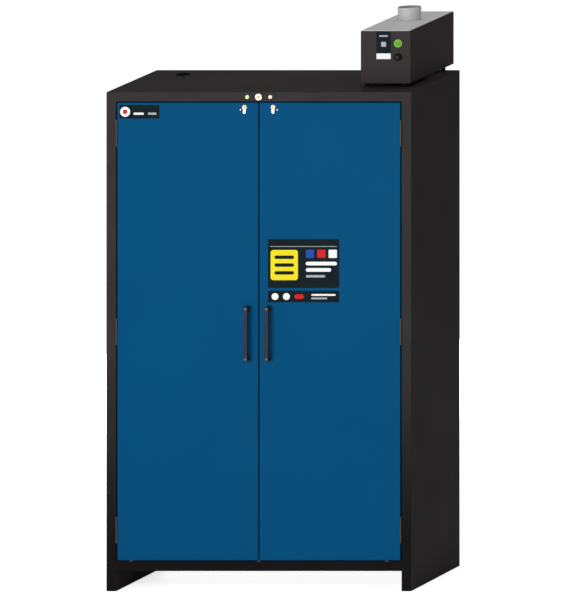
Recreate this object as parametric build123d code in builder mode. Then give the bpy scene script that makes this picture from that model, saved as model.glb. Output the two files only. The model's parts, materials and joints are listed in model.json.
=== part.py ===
"""Two-door battery charging cabinet with a fan unit on its roof, as separate pieces in millimetres.

+X is to the viewer's right, +Y runs from the doors to the back and +Z is up. The origin is at floor
level, under the middle of the overall box. Every piece is written where it stands with the doors shut.
"""

from build123d import *

import os

# ---------------------------------------------------------------- driving sizes
CABINET_WIDTH = 1193
CABINET_DEPTH = 615
CABINET_HEIGHT = 1953
SHEET = 1.5  # folded steel sheet of the casing
CLEARANCE = 0.3  # between pieces that are pushed together
FOLD_RADIUS = 1.4

# outer frame seen from the front
POST_WIDTH = 38
LINTEL_HEIGHT = 36
SILL_TOP = 116
LEG_HEIGHT = 79  # free height under the cabinet
REVEAL_DEPTH = 58  # from the front to the face that the doors close on
FLANGE = 20

# fire-proof walls: an insulation board, then a lining board
SIDE_INSULATION = 52
TOP_INSULATION = 50
BACK_INSULATION = 14
BACK_AIR = 1
LINING = 18
FLOOR_INSULATION = 64.5
ROOF_SPACE = 73.5  # compartment between the insulation and the roof sheet

# doors
DOOR_GAP = 5
DOOR_THICKNESS = 54
PAN_DEPTH = 32
DOOR_STEP = 14  # how far the inner part of a door stands in from its edge
SEAL_WIDTH = 9
SEAL_THICKNESS = 6
GASKET_WIDTH = 12
GASKET_GAP = 0.6  # between the gasket and the shut doors

# hinges, three to a door
HINGE_LENGTH = 104
HINGE_FROM_DOOR_END = 119  # centre of the end hinges
HINGE_PROUD = 3  # pin axis in front of the door face
KNUCKLE_RADIUS = 3.7
HINGE_PIN_RADIUS = 2
HINGE_PLAY = 0.05
LEAF_THICKNESS = 1.8
LEAF_DEPTH = 30
KNUCKLE_GAP = 0.5

# pull handles
HANDLE_FROM_CENTRE = 41
HANDLE_ABOVE_DOOR_BOTTOM = 890  # to its centre
HANDLE_LENGTH = 213
HANDLE_WIDTH = 15
HANDLE_BAR = 11
HANDLE_PROJECTION = 38
HANDLE_FOOT = 18
HANDLE_ROUND = 2
SCREW_RADIUS = 2.5
SCREW_HEAD_RADIUS = 4
SCREW_HEAD_DEPTH = 4
SCREW_FROM_END = 8
SCREW_BITE = 30  # how far a screw runs into the door

# door locks: profile cylinders that lift a bolt into the lintel
LOCK_FROM_CENTRE = 56
LOCK_BELOW_DOOR_TOP = 18
LOCK_ROUND_RADIUS = 8.5
LOCK_HEIGHT = 33
LOCK_TAIL_WIDTH = 10
LOCK_LENGTH = 18
LOCK_PROUD = 2
PLUG_RADIUS = 6
PLUG_PLAY = 0.05
CAM_REACH = 13
CAM_RADIUS = 7
CAM_THICKNESS = 3
KEY_SLOT = (1.6, 8, 9)  # width, height and depth
BOLT = (18, 7, 34)  # width, thickness and length
BOLT_PLAY = 0.6
BOLT_BELOW_DOOR_TOP = 2
BOLT_TRAVEL = 14
MECHANISM_GAP = 1

# key switch and lamps in the lintel
DEVICE_BELOW_TOP = 18.5
LAMP_FROM_CENTRE = 45
LENS_RADIUS = 6
LENS_PROUD = 4
LAMP_RADIUS = 4
LAMP_LENGTH = 16
SWITCH_RADIUS = 14
SWITCH_PROUD = 5
SWITCH_BARREL_RADIUS = 9.5
SWITCH_BARREL_LENGTH = 26
SWITCH_PLUG_LENGTH = 22

# inside
SHELF_COUNT = 4
SHELF_EDGE = 25
SHELF_SIDE_GAP = 6
SHELF_FRONT_GAP = 20
SHELF_BACK_GAP = 40
SHELF_SLOT_COUNT = (5, 8)  # across, front to back
SHELF_BAR = (46, 30)  # sheet left between the slots
RAIL_WIDTH = 26
RAIL_DEPTH = 5
RAIL_FROM_ENDS = 70
RAIL_ABOVE_TRAY = 12
RAIL_SLOT = (12, 5)
RAIL_SLOT_PITCH = 75
CLIP = (12, 20, 16)
TRAY_HEIGHT = 45
TRAY_GAP = 3
STRIP = (560, 44, 46)  # length, depth and height
STRIP_RIM = 3
INSERT_DEPTH = 28
SOCKETS_PER_STRIP = 4
SOCKET_RADIUS = 18
SOCKET_DEPTH = 15
PIN_HOLE_RADIUS = 2.4
PIN_HOLE_SPACING = 19
STRIP_ABOVE_SHELF = 150

# air duct, ports and fire detector
PORT_FROM_BACK = 131
PORT_FROM_SIDE = 145.5
DUCT_RADIUS = 37.5
DUCT_WALL = 2
DUCT_ABOVE_UNIT_FLOOR = 4
GRILLE_LIP = 14
GRILLE_THICKNESS = 4
GRILLE_SLOT_WIDTH = 5
GRILLE_SLOT_PITCH = 10
DETECTOR_RADIUS = 50
DETECTOR_HEIGHT = 42
DETECTOR_ROUND = 14
GROMMET_RADIUS = 22
GROMMET_WALL = 4
GROMMET_LIP = 4

# fan unit on the roof
UNIT_WIDTH = 195
UNIT_HEIGHT = 207
UNIT_DEPTH = 550
UNIT_PORT_FROM_FRONT = 339
UNIT_SHEET = 1.5
UNIT_RIM = 12  # inward flange that the cover lies on
FOOT_HEIGHT = 14
FOOT_RADIUS = 9.5
FOOT_INSET = 24
REAR_FOOT_INSET = 11
REAR_FOOT_FROM_CABINET_BACK = 22
COVER_THICKNESS = 2
COVER_INSET = 3
COVER_LIP = 10
SPIGOT_FROM_FRONT = 302
SPIGOT_RADIUS = 44
SPIGOT_WALL = 2.5
SPIGOT_HEIGHT = 52
SPIGOT_FLANGE = 5
BUTTON_FROM_SIDE = 48
START_BELOW_TOP = 50
MUTE_BELOW_TOP = 104
START_BEZEL_RADIUS = 15.5
MUTE_BEZEL_RADIUS = 12
BEZEL_PROUD = 4
BEZEL_BARREL_RADIUS = 11.5
BEZEL_BARREL_LENGTH = 24
BUTTON_RADIUS = 10
BUTTON_PLAY = 0.25
BUTTON_PROUD = 4
BUTTON_LENGTH = 20
BUTTON_TRAVEL = 3
DOME_RADIUS = 14
DOME_HEIGHT = 9
WHEEL_RADIUS = 72
WHEEL_EYE_RADIUS = 48
WHEEL_HEIGHT = 46
WHEEL_DISC = 2
WHEEL_BLADES = 9
BLADE_THICKNESS = 2
BLADE_SWEEP = 35  # degrees that a blade leans back from the radius
WHEEL_ABOVE_FLOOR = 12
HUB_RADIUS = 14
SHAFT_RADIUS = 4
SHAFT_PLAY = 0.05
SHAFT_LENGTH = 26
MOTOR_GAP = 6
MOTOR_RADIUS = 36
MOTOR_HEIGHT = 44
BRACKET_WIDTH = 50
BRACKET_DROP = 20

# ---------------------------------------------------------------- worked-out places
UNIT_SETBACK = CABINET_DEPTH - PORT_FROM_BACK - UNIT_PORT_FROM_FRONT
FRONT = (HANDLE_PROJECTION - UNIT_SETBACK - UNIT_DEPTH) / 2  # plane of the posts and the door faces
BACK = FRONT + CABINET_DEPTH
SIDE_X = CABINET_WIDTH / 2
SHELL_X = SIDE_X - SHEET  # inner face of a side sheet
POST_X = SIDE_X - POST_WIDTH  # edge of the door opening
FRAME_FACE = FRONT + REVEAL_DEPTH
WALL_FRONT = FRAME_FACE + SHEET
LINTEL_BOTTOM = CABINET_HEIGHT - LINTEL_HEIGHT
ROOF_BOTTOM = CABINET_HEIGHT - SHEET
BASE_TOP = LEG_HEIGHT + SHEET
SHELL_BACK = BACK - 2 * SHEET  # front face of the rear flanges

INSULATION_BACK = SHELL_BACK - BACK_AIR
LINING_BACK = INSULATION_BACK - BACK_INSULATION
INTERIOR_BACK = LINING_BACK - LINING
LINING_X = SHELL_X - SIDE_INSULATION
INTERIOR_X = LINING_X - LINING
INSULATION_TOP = ROOF_BOTTOM - ROOF_SPACE
LINING_TOP = INSULATION_TOP - TOP_INSULATION
LINING_BOTTOM = BASE_TOP + FLOOR_INSULATION
INTERIOR_TOP = LINING_TOP - LINING
INTERIOR_BOTTOM = LINING_BOTTOM + LINING

DOOR_BOTTOM = SILL_TOP + DOOR_GAP
DOOR_TOP = LINTEL_BOTTOM - DOOR_GAP
DOOR_OUTER_X = POST_X - DOOR_GAP
DOOR_INNER_X = DOOR_GAP / 2
DOOR_BACK = FRONT + DOOR_THICKNESS
PAN_BACK = FRONT + PAN_DEPTH
HINGE_X = POST_X - DOOR_GAP / 2
HINGE_Y = FRONT - HINGE_PROUD
LEAF_FRONT = HINGE_Y + KNUCKLE_RADIUS + KNUCKLE_GAP
END_HINGES = (DOOR_BOTTOM + HINGE_FROM_DOOR_END, DOOR_TOP - HINGE_FROM_DOOR_END)
HINGE_CENTRES = (END_HINGES[0], sum(END_HINGES) / 2, END_HINGES[1])

HANDLE_FRONT = FRONT - HANDLE_PROJECTION
HANDLE_CENTRE_Z = DOOR_BOTTOM + HANDLE_ABOVE_DOOR_BOTTOM
HANDLE_BOTTOM = HANDLE_CENTRE_Z - HANDLE_LENGTH / 2
HANDLE_TOP = HANDLE_CENTRE_Z + HANDLE_LENGTH / 2
SCREW_ZS = (HANDLE_BOTTOM + SCREW_FROM_END, HANDLE_TOP - SCREW_FROM_END)

LOCK_Z = DOOR_TOP - LOCK_BELOW_DOOR_TOP
LOCK_FRONT = FRONT - LOCK_PROUD
LOCK_BACK = LOCK_FRONT + LOCK_LENGTH
CAM_BACK = LOCK_BACK + MECHANISM_GAP + CAM_THICKNESS
BOLT_FRONT = CAM_BACK + MECHANISM_GAP
BOLT_BACK = BOLT_FRONT + BOLT[1]
BOLT_TOP = DOOR_TOP - BOLT_BELOW_DOOR_TOP
BOLT_BOTTOM = BOLT_TOP - BOLT[2]
DEVICE_Z = CABINET_HEIGHT - DEVICE_BELOW_TOP

BAY_HEIGHT = (INTERIOR_TOP - INTERIOR_BOTTOM) / (SHELF_COUNT + 1)
SHELF_TOPS = [INTERIOR_BOTTOM + BAY_HEIGHT * n for n in range(1, SHELF_COUNT + 1)]
SHELF_X = INTERIOR_X - SHELF_SIDE_GAP
SHELF_FRONT = WALL_FRONT + SHELF_FRONT_GAP
SHELF_BACK = INTERIOR_BACK - SHELF_BACK_GAP
SHELF_SLOT_PITCH = (2 * SHELF_X / SHELF_SLOT_COUNT[0], (SHELF_BACK - SHELF_FRONT) / SHELF_SLOT_COUNT[1])
SHELF_SLOT = tuple(pitch - bar for pitch, bar in zip(SHELF_SLOT_PITCH, SHELF_BAR))
RAIL_YS = (WALL_FRONT + RAIL_FROM_ENDS, INTERIOR_BACK - RAIL_FROM_ENDS)
RAIL_BOTTOM = INTERIOR_BOTTOM + TRAY_HEIGHT + RAIL_ABOVE_TRAY
STRIP_ZS = [INTERIOR_BOTTOM + BAY_HEIGHT * n + STRIP_ABOVE_SHELF for n in range(SHELF_COUNT + 1)]
STRIP_FRONT = INTERIOR_BACK - STRIP[1]
INSERT_LENGTH = STRIP[0] - 2 * STRIP_RIM
INSERT_HEIGHT = STRIP[2] - 2 * STRIP_RIM
SOCKET_PITCH = INSERT_LENGTH / SOCKETS_PER_STRIP

PORT_X = SIDE_X - PORT_FROM_SIDE
PORT_Y = BACK - PORT_FROM_BACK
UNIT_FRONT = FRONT + UNIT_SETBACK
UNIT_BACK = UNIT_FRONT + UNIT_DEPTH
UNIT_LEFT = PORT_X - UNIT_WIDTH / 2
UNIT_RIGHT = PORT_X + UNIT_WIDTH / 2
UNIT_BOTTOM = CABINET_HEIGHT + FOOT_HEIGHT
UNIT_FLOOR = UNIT_BOTTOM + UNIT_SHEET
UNIT_TOP = UNIT_BOTTOM + UNIT_HEIGHT
CASING_TOP = UNIT_TOP - COVER_THICKNESS
SPIGOT_Y = UNIT_FRONT + SPIGOT_FROM_FRONT
FRONT_FOOT_Y = UNIT_FRONT + FOOT_RADIUS
REAR_FOOT_Y = BACK - REAR_FOOT_FROM_CABINET_BACK
BUTTON_X = UNIT_RIGHT - BUTTON_FROM_SIDE
START_Z = UNIT_TOP - START_BELOW_TOP
MUTE_Z = UNIT_TOP - MUTE_BELOW_TOP
WHEEL_BOTTOM = UNIT_FLOOR + WHEEL_ABOVE_FLOOR
WHEEL_TOP = WHEEL_BOTTOM + WHEEL_HEIGHT
MOTOR_BOTTOM = WHEEL_TOP + MOTOR_GAP
MOTOR_TOP = MOTOR_BOTTOM + MOTOR_HEIGHT

os.makedirs("parts", exist_ok=True)


# ---------------------------------------------------------------- helpers
def block(low, high, mode=Mode.ADD):
    """A box between two opposite corners, in the open BuildPart."""
    with Locations(tuple((a + b) / 2 for a, b in zip(low, high))):
        Box(*[b - a for a, b in zip(low, high)], mode=mode)


def facing(x, y, z):
    """A plane that faces the viewer at that point: +X stays to the right and +Z stays up."""
    return Plane((x, y, z), x_dir=(1, 0, 0), z_dir=(0, -1, 0))


def rod(x, z, y_front, y_back, radius, mode=Mode.ADD):
    """A round bar along Y, in the open BuildPart."""
    with BuildSketch(facing(x, y_back, z)) as profile:
        Circle(radius)
    extrude(profile.sketch, amount=y_back - y_front, mode=mode)


def tube(x, z, y_front, y_back, radius, bore):
    """A round tube along Y, in the open BuildPart."""
    with BuildSketch(facing(x, y_back, z)) as profile:
        Circle(radius)
        Circle(bore, mode=Mode.SUBTRACT)
    extrude(profile.sketch, amount=y_back - y_front)


def standing(x, y, z_bottom, z_top, radius, mode=Mode.ADD):
    """A round bar along Z, in the open BuildPart."""
    with BuildSketch(Plane.XY.offset(z_bottom)) as profile:
        with Locations((x, y)):
            Circle(radius)
    extrude(profile.sketch, amount=z_top - z_bottom, mode=mode)


def ring_frame(xs, zs, ys, width):
    """An upright rectangular ring with outer sides xs and zs, from ys[0] to ys[1] in depth."""
    with BuildSketch(facing((xs[0] + xs[1]) / 2, ys[1], (zs[0] + zs[1]) / 2)) as profile:
        Rectangle(xs[1] - xs[0], zs[1] - zs[0])
        Rectangle(xs[1] - xs[0] - 2 * width, zs[1] - zs[0] - 2 * width, mode=Mode.SUBTRACT)
    extrude(profile.sketch, amount=ys[1] - ys[0])


def write(part, name):
    """Labels a finished piece and writes its STEP file."""
    part.label = name
    export_step(part, f"parts/{name}.step")


def write_pair(part, name):
    """Writes a left-hand piece and its mirror image on the right."""
    write(part, f"{name}_left")
    with BuildPart() as right_hand:
        add(mirror(part, about=Plane.YZ))
    write(right_hand.part, f"{name}_right")


# ---------------------------------------------------------------- casing
with BuildPart() as side_panel:
    with BuildSketch():
        with BuildLine():
            Polyline(
                (-POST_X, FRAME_FACE),
                (-POST_X, FRONT),
                (-SIDE_X, FRONT),
                (-SIDE_X, BACK),
                (-SHELL_X, BACK),
                (-SHELL_X, BACK - SHEET),
                (-SIDE_X + FLANGE, BACK - SHEET),
                (-SIDE_X + FLANGE, SHELL_BACK),
                (-SHELL_X, SHELL_BACK),
                (-SHELL_X, FRONT + SHEET),
                (-POST_X - SHEET, FRONT + SHEET),
                (-POST_X - SHEET, FRAME_FACE),
                close=True,
            )
        make_face()
    extrude(amount=CABINET_HEIGHT)
    front_folds = side_panel.edges().filter_by(Axis.Z).filter_by_position(Axis.Y, FRONT, FRONT)
    fillet(front_folds, FOLD_RADIUS)
    block((-SHELL_X, FRONT + SHEET, ROOF_BOTTOM), (-POST_X, BACK, CABINET_HEIGHT), Mode.SUBTRACT)
    # the leg under the cabinet: an inner wall and a flange that stands on the floor
    block((-POST_X - SHEET, FRAME_FACE, 0), (-POST_X, SHELL_BACK, LEG_HEIGHT))
    block((-SHELL_X, FRONT + SHEET, 0), (-POST_X - SHEET, SHELL_BACK, SHEET))
write_pair(side_panel.part, "side_panel")

with BuildPart() as roof_panel:
    block((-SHELL_X, FRONT + SHEET, ROOF_BOTTOM), (SHELL_X, BACK, CABINET_HEIGHT))
    standing(PORT_X, PORT_Y, ROOF_BOTTOM, CABINET_HEIGHT, DUCT_RADIUS + CLEARANCE, Mode.SUBTRACT)
    standing(-PORT_X, PORT_Y, ROOF_BOTTOM, CABINET_HEIGHT, GROMMET_RADIUS, Mode.SUBTRACT)
write(roof_panel.part, "roof_panel")

with BuildPart() as back_panel:
    block((-SHELL_X, BACK - SHEET, LEG_HEIGHT), (SHELL_X, BACK, ROOF_BOTTOM))
write(back_panel.part, "back_panel")

with BuildPart() as base_panel:
    block((-POST_X, FRAME_FACE, LEG_HEIGHT), (POST_X, SHELL_BACK, BASE_TOP))
write(base_panel.part, "base_panel")

with BuildPart() as lintel:
    block((-POST_X, FRONT, LINTEL_BOTTOM), (POST_X, FRONT + SHEET, CABINET_HEIGHT))
    block((-POST_X, FRONT + SHEET, LINTEL_BOTTOM), (POST_X, FRAME_FACE, LINTEL_BOTTOM + SHEET))
    block((-POST_X, FRONT + SHEET, ROOF_BOTTOM - SHEET), (POST_X, FRONT + FLANGE, ROOF_BOTTOM))
    rod(0, DEVICE_Z, FRONT, FRONT + SHEET, SWITCH_BARREL_RADIUS, Mode.SUBTRACT)
    strike_x, strike_y = BOLT[0] / 2 + MECHANISM_GAP, MECHANISM_GAP
    for side in (-1, 1):
        rod(side * LAMP_FROM_CENTRE, DEVICE_Z, FRONT, FRONT + SHEET, LAMP_RADIUS, Mode.SUBTRACT)
        lock_x = side * LOCK_FROM_CENTRE
        block(
            (lock_x - strike_x, BOLT_FRONT - strike_y, LINTEL_BOTTOM),
            (lock_x + strike_x, BOLT_BACK + strike_y, LINTEL_BOTTOM + SHEET),
            Mode.SUBTRACT,
        )
write(lintel.part, "lintel")

with BuildPart() as sill:
    block((-POST_X, FRONT, LEG_HEIGHT), (POST_X, FRONT + SHEET, SILL_TOP))
    block((-POST_X, FRONT + SHEET, SILL_TOP - SHEET), (POST_X, FRAME_FACE, SILL_TOP))
    block((-POST_X, FRONT + SHEET, LEG_HEIGHT), (POST_X, FRAME_FACE, BASE_TOP))
write(sill.part, "sill")

with BuildPart() as door_frame:
    with BuildSketch(facing(0, WALL_FRONT, 0)):
        with Locations((0, (BASE_TOP + ROOF_BOTTOM) / 2)):
            Rectangle(2 * SHELL_X, ROOF_BOTTOM - BASE_TOP)
        with Locations((0, (INTERIOR_BOTTOM + INTERIOR_TOP) / 2)):
            Rectangle(2 * INTERIOR_X, INTERIOR_TOP - INTERIOR_BOTTOM, mode=Mode.SUBTRACT)
    extrude(amount=SHEET)
write(door_frame.part, "door_frame")

with BuildPart() as frame_gasket:
    gasket_x = INTERIOR_X + GASKET_WIDTH
    ring_frame(
        (-gasket_x, gasket_x),
        (INTERIOR_BOTTOM - GASKET_WIDTH, INTERIOR_TOP + GASKET_WIDTH),
        (DOOR_BACK + GASKET_GAP, FRAME_FACE),
        GASKET_WIDTH,
    )
write(frame_gasket.part, "frame_gasket")

# ---------------------------------------------------------------- fire-proof walls
with BuildPart() as insulation_boards:
    for side in (-1, 1):
        xs = sorted((side * LINING_X, side * SHELL_X))
        block((xs[0], WALL_FRONT, BASE_TOP), (xs[1], INSULATION_BACK, INSULATION_TOP))
    board_x, board_back = LINING_X - CLEARANCE, LINING_BACK - CLEARANCE
    block((-board_x, LINING_BACK, BASE_TOP), (board_x, INSULATION_BACK, INSULATION_TOP))
    block((-board_x, WALL_FRONT, BASE_TOP), (board_x, board_back, LINING_BOTTOM))
    block((-board_x, WALL_FRONT, LINING_TOP), (board_x, board_back, INSULATION_TOP))
    standing(PORT_X, PORT_Y, LINING_TOP, INSULATION_TOP, DUCT_RADIUS + CLEARANCE, Mode.SUBTRACT)
write(insulation_boards.part, "insulation_boards")

with BuildPart() as inner_lining:
    for side in (-1, 1):
        xs = sorted((side * INTERIOR_X, side * LINING_X))
        block((xs[0], WALL_FRONT, LINING_BOTTOM), (xs[1], LINING_BACK, LINING_TOP))
    board_x, board_back = INTERIOR_X - CLEARANCE, INTERIOR_BACK - CLEARANCE
    block((-board_x, INTERIOR_BACK, LINING_BOTTOM), (board_x, LINING_BACK, LINING_TOP))
    block((-board_x, WALL_FRONT, LINING_BOTTOM), (board_x, board_back, INTERIOR_BOTTOM))
    block((-board_x, WALL_FRONT, INTERIOR_TOP), (board_x, board_back, LINING_TOP))
    standing(PORT_X, PORT_Y, INTERIOR_TOP, LINING_TOP, DUCT_RADIUS + CLEARANCE, Mode.SUBTRACT)
write(inner_lining.part, "inner_lining")


# ---------------------------------------------------------------- hinges
def hinge_half(leaf_x, knuckle_z, hinge_z, bore):
    """One leaf of a left-hand hinge, with its knuckle, in the open BuildPart."""
    low, high = hinge_z - HINGE_LENGTH / 2, hinge_z + HINGE_LENGTH / 2
    block((leaf_x[0], LEAF_FRONT, low), (leaf_x[1], FRONT + LEAF_DEPTH, high))
    block((leaf_x[0], HINGE_Y, knuckle_z[0]), (leaf_x[1], LEAF_FRONT, knuckle_z[1]))
    standing(-HINGE_X, HINGE_Y, *knuckle_z, KNUCKLE_RADIUS)
    standing(-HINGE_X, HINGE_Y, *knuckle_z, bore, Mode.SUBTRACT)


with BuildPart() as frame_hinge_leaves:
    for centre in HINGE_CENTRES:
        lower = (centre - HINGE_LENGTH / 2, centre - KNUCKLE_GAP / 2)
        hinge_half((-POST_X, -POST_X + LEAF_THICKNESS), lower, centre, HINGE_PIN_RADIUS)
write_pair(frame_hinge_leaves.part, "frame_hinge_leaves")

with BuildPart() as door_hinge_leaves:
    for centre in HINGE_CENTRES:
        upper = (centre + KNUCKLE_GAP / 2, centre + HINGE_LENGTH / 2)
        leaf = (-DOOR_OUTER_X - LEAF_THICKNESS, -DOOR_OUTER_X)
        hinge_half(leaf, upper, centre, HINGE_PIN_RADIUS + HINGE_PLAY)
write_pair(door_hinge_leaves.part, "door_hinge_leaves")

with BuildPart() as hinge_pins:
    for side in (-1, 1):
        for centre in HINGE_CENTRES:
            low, high = centre - HINGE_LENGTH / 2, centre + HINGE_LENGTH / 2
            standing(side * HINGE_X, HINGE_Y, low, high, HINGE_PIN_RADIUS)
write(hinge_pins.part, "hinge_pins")


# ---------------------------------------------------------------- doors, made on the left and mirrored
def profile_cylinder(grow=0):
    """Outline of the lock cylinder in the open BuildSketch, grown by a clearance."""
    Circle(LOCK_ROUND_RADIUS + grow)
    tail_drop = LOCK_HEIGHT - LOCK_ROUND_RADIUS - LOCK_TAIL_WIDTH / 2
    with Locations((0, -tail_drop / 2)):
        Rectangle(LOCK_TAIL_WIDTH + 2 * grow, tail_drop)
    with Locations((0, -tail_drop)):
        Circle(LOCK_TAIL_WIDTH / 2 + grow)


def lock_pocket(y_front, y_back, grow):
    """Cuts the outline of the lock cylinder through the open BuildPart."""
    with BuildSketch(facing(-LOCK_FROM_CENTRE, y_back, LOCK_Z)) as profile:
        profile_cylinder(grow)
    extrude(profile.sketch, amount=y_back - y_front, mode=Mode.SUBTRACT)


def bolt_hole(z_bottom, z_top):
    """Cuts the way of the lock bolt through the open BuildPart."""
    half_x = BOLT[0] / 2 + BOLT_PLAY
    block(
        (-LOCK_FROM_CENTRE - half_x, BOLT_FRONT - BOLT_PLAY, z_bottom),
        (-LOCK_FROM_CENTRE + half_x, BOLT_BACK + BOLT_PLAY, z_top),
        Mode.SUBTRACT,
    )


with BuildPart() as door_skin:
    block((-DOOR_OUTER_X, FRONT, DOOR_BOTTOM), (-DOOR_INNER_X, PAN_BACK, DOOR_TOP))
    face_edges = door_skin.faces().sort_by(Axis.Y)[0].edges()
    fillet(face_edges, FOLD_RADIUS)
    block(
        (-DOOR_OUTER_X + SHEET, FRONT + SHEET, DOOR_BOTTOM + SHEET),
        (-DOOR_INNER_X - SHEET, PAN_BACK, DOOR_TOP - SHEET),
        Mode.SUBTRACT,
    )
    lock_pocket(FRONT, FRONT + SHEET, CLEARANCE)
    for screw_z in SCREW_ZS:
        rod(-HANDLE_FROM_CENTRE, screw_z, FRONT, FRONT + SHEET, SCREW_RADIUS, Mode.SUBTRACT)
    bolt_hole(DOOR_TOP - SHEET, DOOR_TOP)
write_pair(door_skin.part, "door_skin")

with BuildPart() as door_core:
    block(
        (-DOOR_OUTER_X + SHEET, FRONT + SHEET, DOOR_BOTTOM + SHEET),
        (-DOOR_INNER_X - SHEET, PAN_BACK, DOOR_TOP - SHEET),
    )
    inset = DOOR_STEP + SHEET
    block(
        (-DOOR_OUTER_X + inset, PAN_BACK, DOOR_BOTTOM + inset),
        (-DOOR_INNER_X - inset, DOOR_BACK - SHEET, DOOR_TOP - inset),
    )
    lock_pocket(FRONT + SHEET, LOCK_BACK, CLEARANCE)
    for screw_z in SCREW_ZS:
        rod(-HANDLE_FROM_CENTRE, screw_z, FRONT + SHEET, FRONT + SCREW_BITE, SCREW_RADIUS, Mode.SUBTRACT)
    sweep = CAM_REACH + MECHANISM_GAP
    block(
        (-LOCK_FROM_CENTRE - sweep, LOCK_BACK, LOCK_Z - sweep),
        (-LOCK_FROM_CENTRE + sweep, CAM_BACK + MECHANISM_GAP / 2, LOCK_Z + sweep),
        Mode.SUBTRACT,
    )
    bolt_hole(BOLT_BOTTOM - BOLT_PLAY, DOOR_TOP - SHEET)
write_pair(door_core.part, "door_core")

with BuildPart() as door_liner:
    block(
        (-DOOR_OUTER_X + SHEET, PAN_BACK, DOOR_BOTTOM + SHEET),
        (-DOOR_INNER_X - SHEET, PAN_BACK + SHEET, DOOR_TOP - SHEET),
    )
    block(
        (-DOOR_OUTER_X + DOOR_STEP, PAN_BACK, DOOR_BOTTOM + DOOR_STEP),
        (-DOOR_INNER_X - DOOR_STEP, DOOR_BACK, DOOR_TOP - DOOR_STEP),
    )
    block(
        (-DOOR_OUTER_X + inset, PAN_BACK, DOOR_BOTTOM + inset),
        (-DOOR_INNER_X - inset, DOOR_BACK - SHEET, DOOR_TOP - inset),
        Mode.SUBTRACT,
    )
write_pair(door_liner.part, "door_liner")

with BuildPart() as door_seal:
    seal_edge = (DOOR_STEP - SEAL_WIDTH) / 2
    ring_frame(
        (-DOOR_OUTER_X + seal_edge, -DOOR_INNER_X - seal_edge),
        (DOOR_BOTTOM + seal_edge, DOOR_TOP - seal_edge),
        (PAN_BACK + SHEET, PAN_BACK + SHEET + SEAL_THICKNESS),
        SEAL_WIDTH,
    )
write_pair(door_seal.part, "door_seal")

with BuildPart() as handle:
    half_width = HANDLE_WIDTH / 2
    block(
        (-HANDLE_FROM_CENTRE - half_width, HANDLE_FRONT, HANDLE_BOTTOM),
        (-HANDLE_FROM_CENTRE + half_width, FRONT, HANDLE_TOP),
    )
    fillet(handle.edges().filter_by(Axis.Y, reverse=True).group_by(Axis.Y)[0], HANDLE_ROUND)
    block(
        (-HANDLE_FROM_CENTRE - half_width, HANDLE_FRONT + HANDLE_BAR, HANDLE_BOTTOM + HANDLE_FOOT),
        (-HANDLE_FROM_CENTRE + half_width, FRONT, HANDLE_TOP - HANDLE_FOOT),
        Mode.SUBTRACT,
    )
    for screw_z in SCREW_ZS:
        with Locations(facing(-HANDLE_FROM_CENTRE, HANDLE_FRONT, screw_z)):
            CounterBoreHole(SCREW_RADIUS, SCREW_HEAD_RADIUS, SCREW_HEAD_DEPTH, HANDLE_PROJECTION)
write_pair(handle.part, "handle")

with BuildPart() as handle_screws:
    for screw_z in SCREW_ZS:
        head_back = HANDLE_FRONT + SCREW_HEAD_DEPTH
        rod(-HANDLE_FROM_CENTRE, screw_z, HANDLE_FRONT + CLEARANCE, head_back, SCREW_HEAD_RADIUS)
        rod(-HANDLE_FROM_CENTRE, screw_z, head_back, FRONT + SCREW_BITE, SCREW_RADIUS)
write_pair(handle_screws.part, "handle_screws")

with BuildPart() as lock_cylinder:
    with BuildSketch(facing(-LOCK_FROM_CENTRE, LOCK_BACK, LOCK_Z)):
        profile_cylinder()
        Circle(PLUG_RADIUS + PLUG_PLAY, mode=Mode.SUBTRACT)
    extrude(amount=LOCK_LENGTH)
write_pair(lock_cylinder.part, "lock_cylinder")

with BuildPart() as lock_plug:
    rod(-LOCK_FROM_CENTRE, LOCK_Z, LOCK_FRONT, CAM_BACK - CAM_THICKNESS, PLUG_RADIUS)
    with BuildSketch(facing(-LOCK_FROM_CENTRE, CAM_BACK, LOCK_Z)):
        Circle(CAM_RADIUS)
        Trapezoid(2 * CAM_RADIUS, CAM_REACH, 75, rotation=90, align=(Align.CENTER, Align.MIN))
    extrude(amount=CAM_THICKNESS)
    with BuildSketch(facing(-LOCK_FROM_CENTRE, LOCK_FRONT + KEY_SLOT[2], LOCK_Z)):
        Rectangle(KEY_SLOT[0], KEY_SLOT[1])
    extrude(amount=KEY_SLOT[2], mode=Mode.SUBTRACT)
write_pair(lock_plug.part, "lock_plug")

with BuildPart() as lock_bolt:
    block(
        (-LOCK_FROM_CENTRE - BOLT[0] / 2, BOLT_FRONT, BOLT_BOTTOM),
        (-LOCK_FROM_CENTRE + BOLT[0] / 2, BOLT_BACK, BOLT_TOP),
    )
    chamfer(lock_bolt.faces().sort_by(Axis.Z)[-1].edges().filter_by(Axis.X), BOLT[1] / 4)
write_pair(lock_bolt.part, "lock_bolt")

# ---------------------------------------------------------------- key switch and lamps
with BuildPart() as key_switch_body:
    tube(0, DEVICE_Z, FRONT - SWITCH_PROUD, FRONT, SWITCH_RADIUS, PLUG_RADIUS + PLUG_PLAY)
    rim = key_switch_body.faces().sort_by(Axis.Y)[0].outer_wire().edges()
    chamfer(rim, SWITCH_PROUD / 3)
    barrel_back = FRONT - SWITCH_PROUD + SWITCH_BARREL_LENGTH
    tube(0, DEVICE_Z, FRONT, barrel_back, SWITCH_BARREL_RADIUS, PLUG_RADIUS + PLUG_PLAY)
write(key_switch_body.part, "key_switch_body")

with BuildPart() as key_switch_plug:
    plug_front = FRONT - SWITCH_PROUD
    rod(0, DEVICE_Z, plug_front, plug_front + SWITCH_PLUG_LENGTH, PLUG_RADIUS)
    with BuildSketch(facing(0, plug_front + KEY_SLOT[2], DEVICE_Z)):
        Rectangle(KEY_SLOT[0], KEY_SLOT[1])
    extrude(amount=KEY_SLOT[2], mode=Mode.SUBTRACT)
write(key_switch_plug.part, "key_switch_plug")

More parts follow.
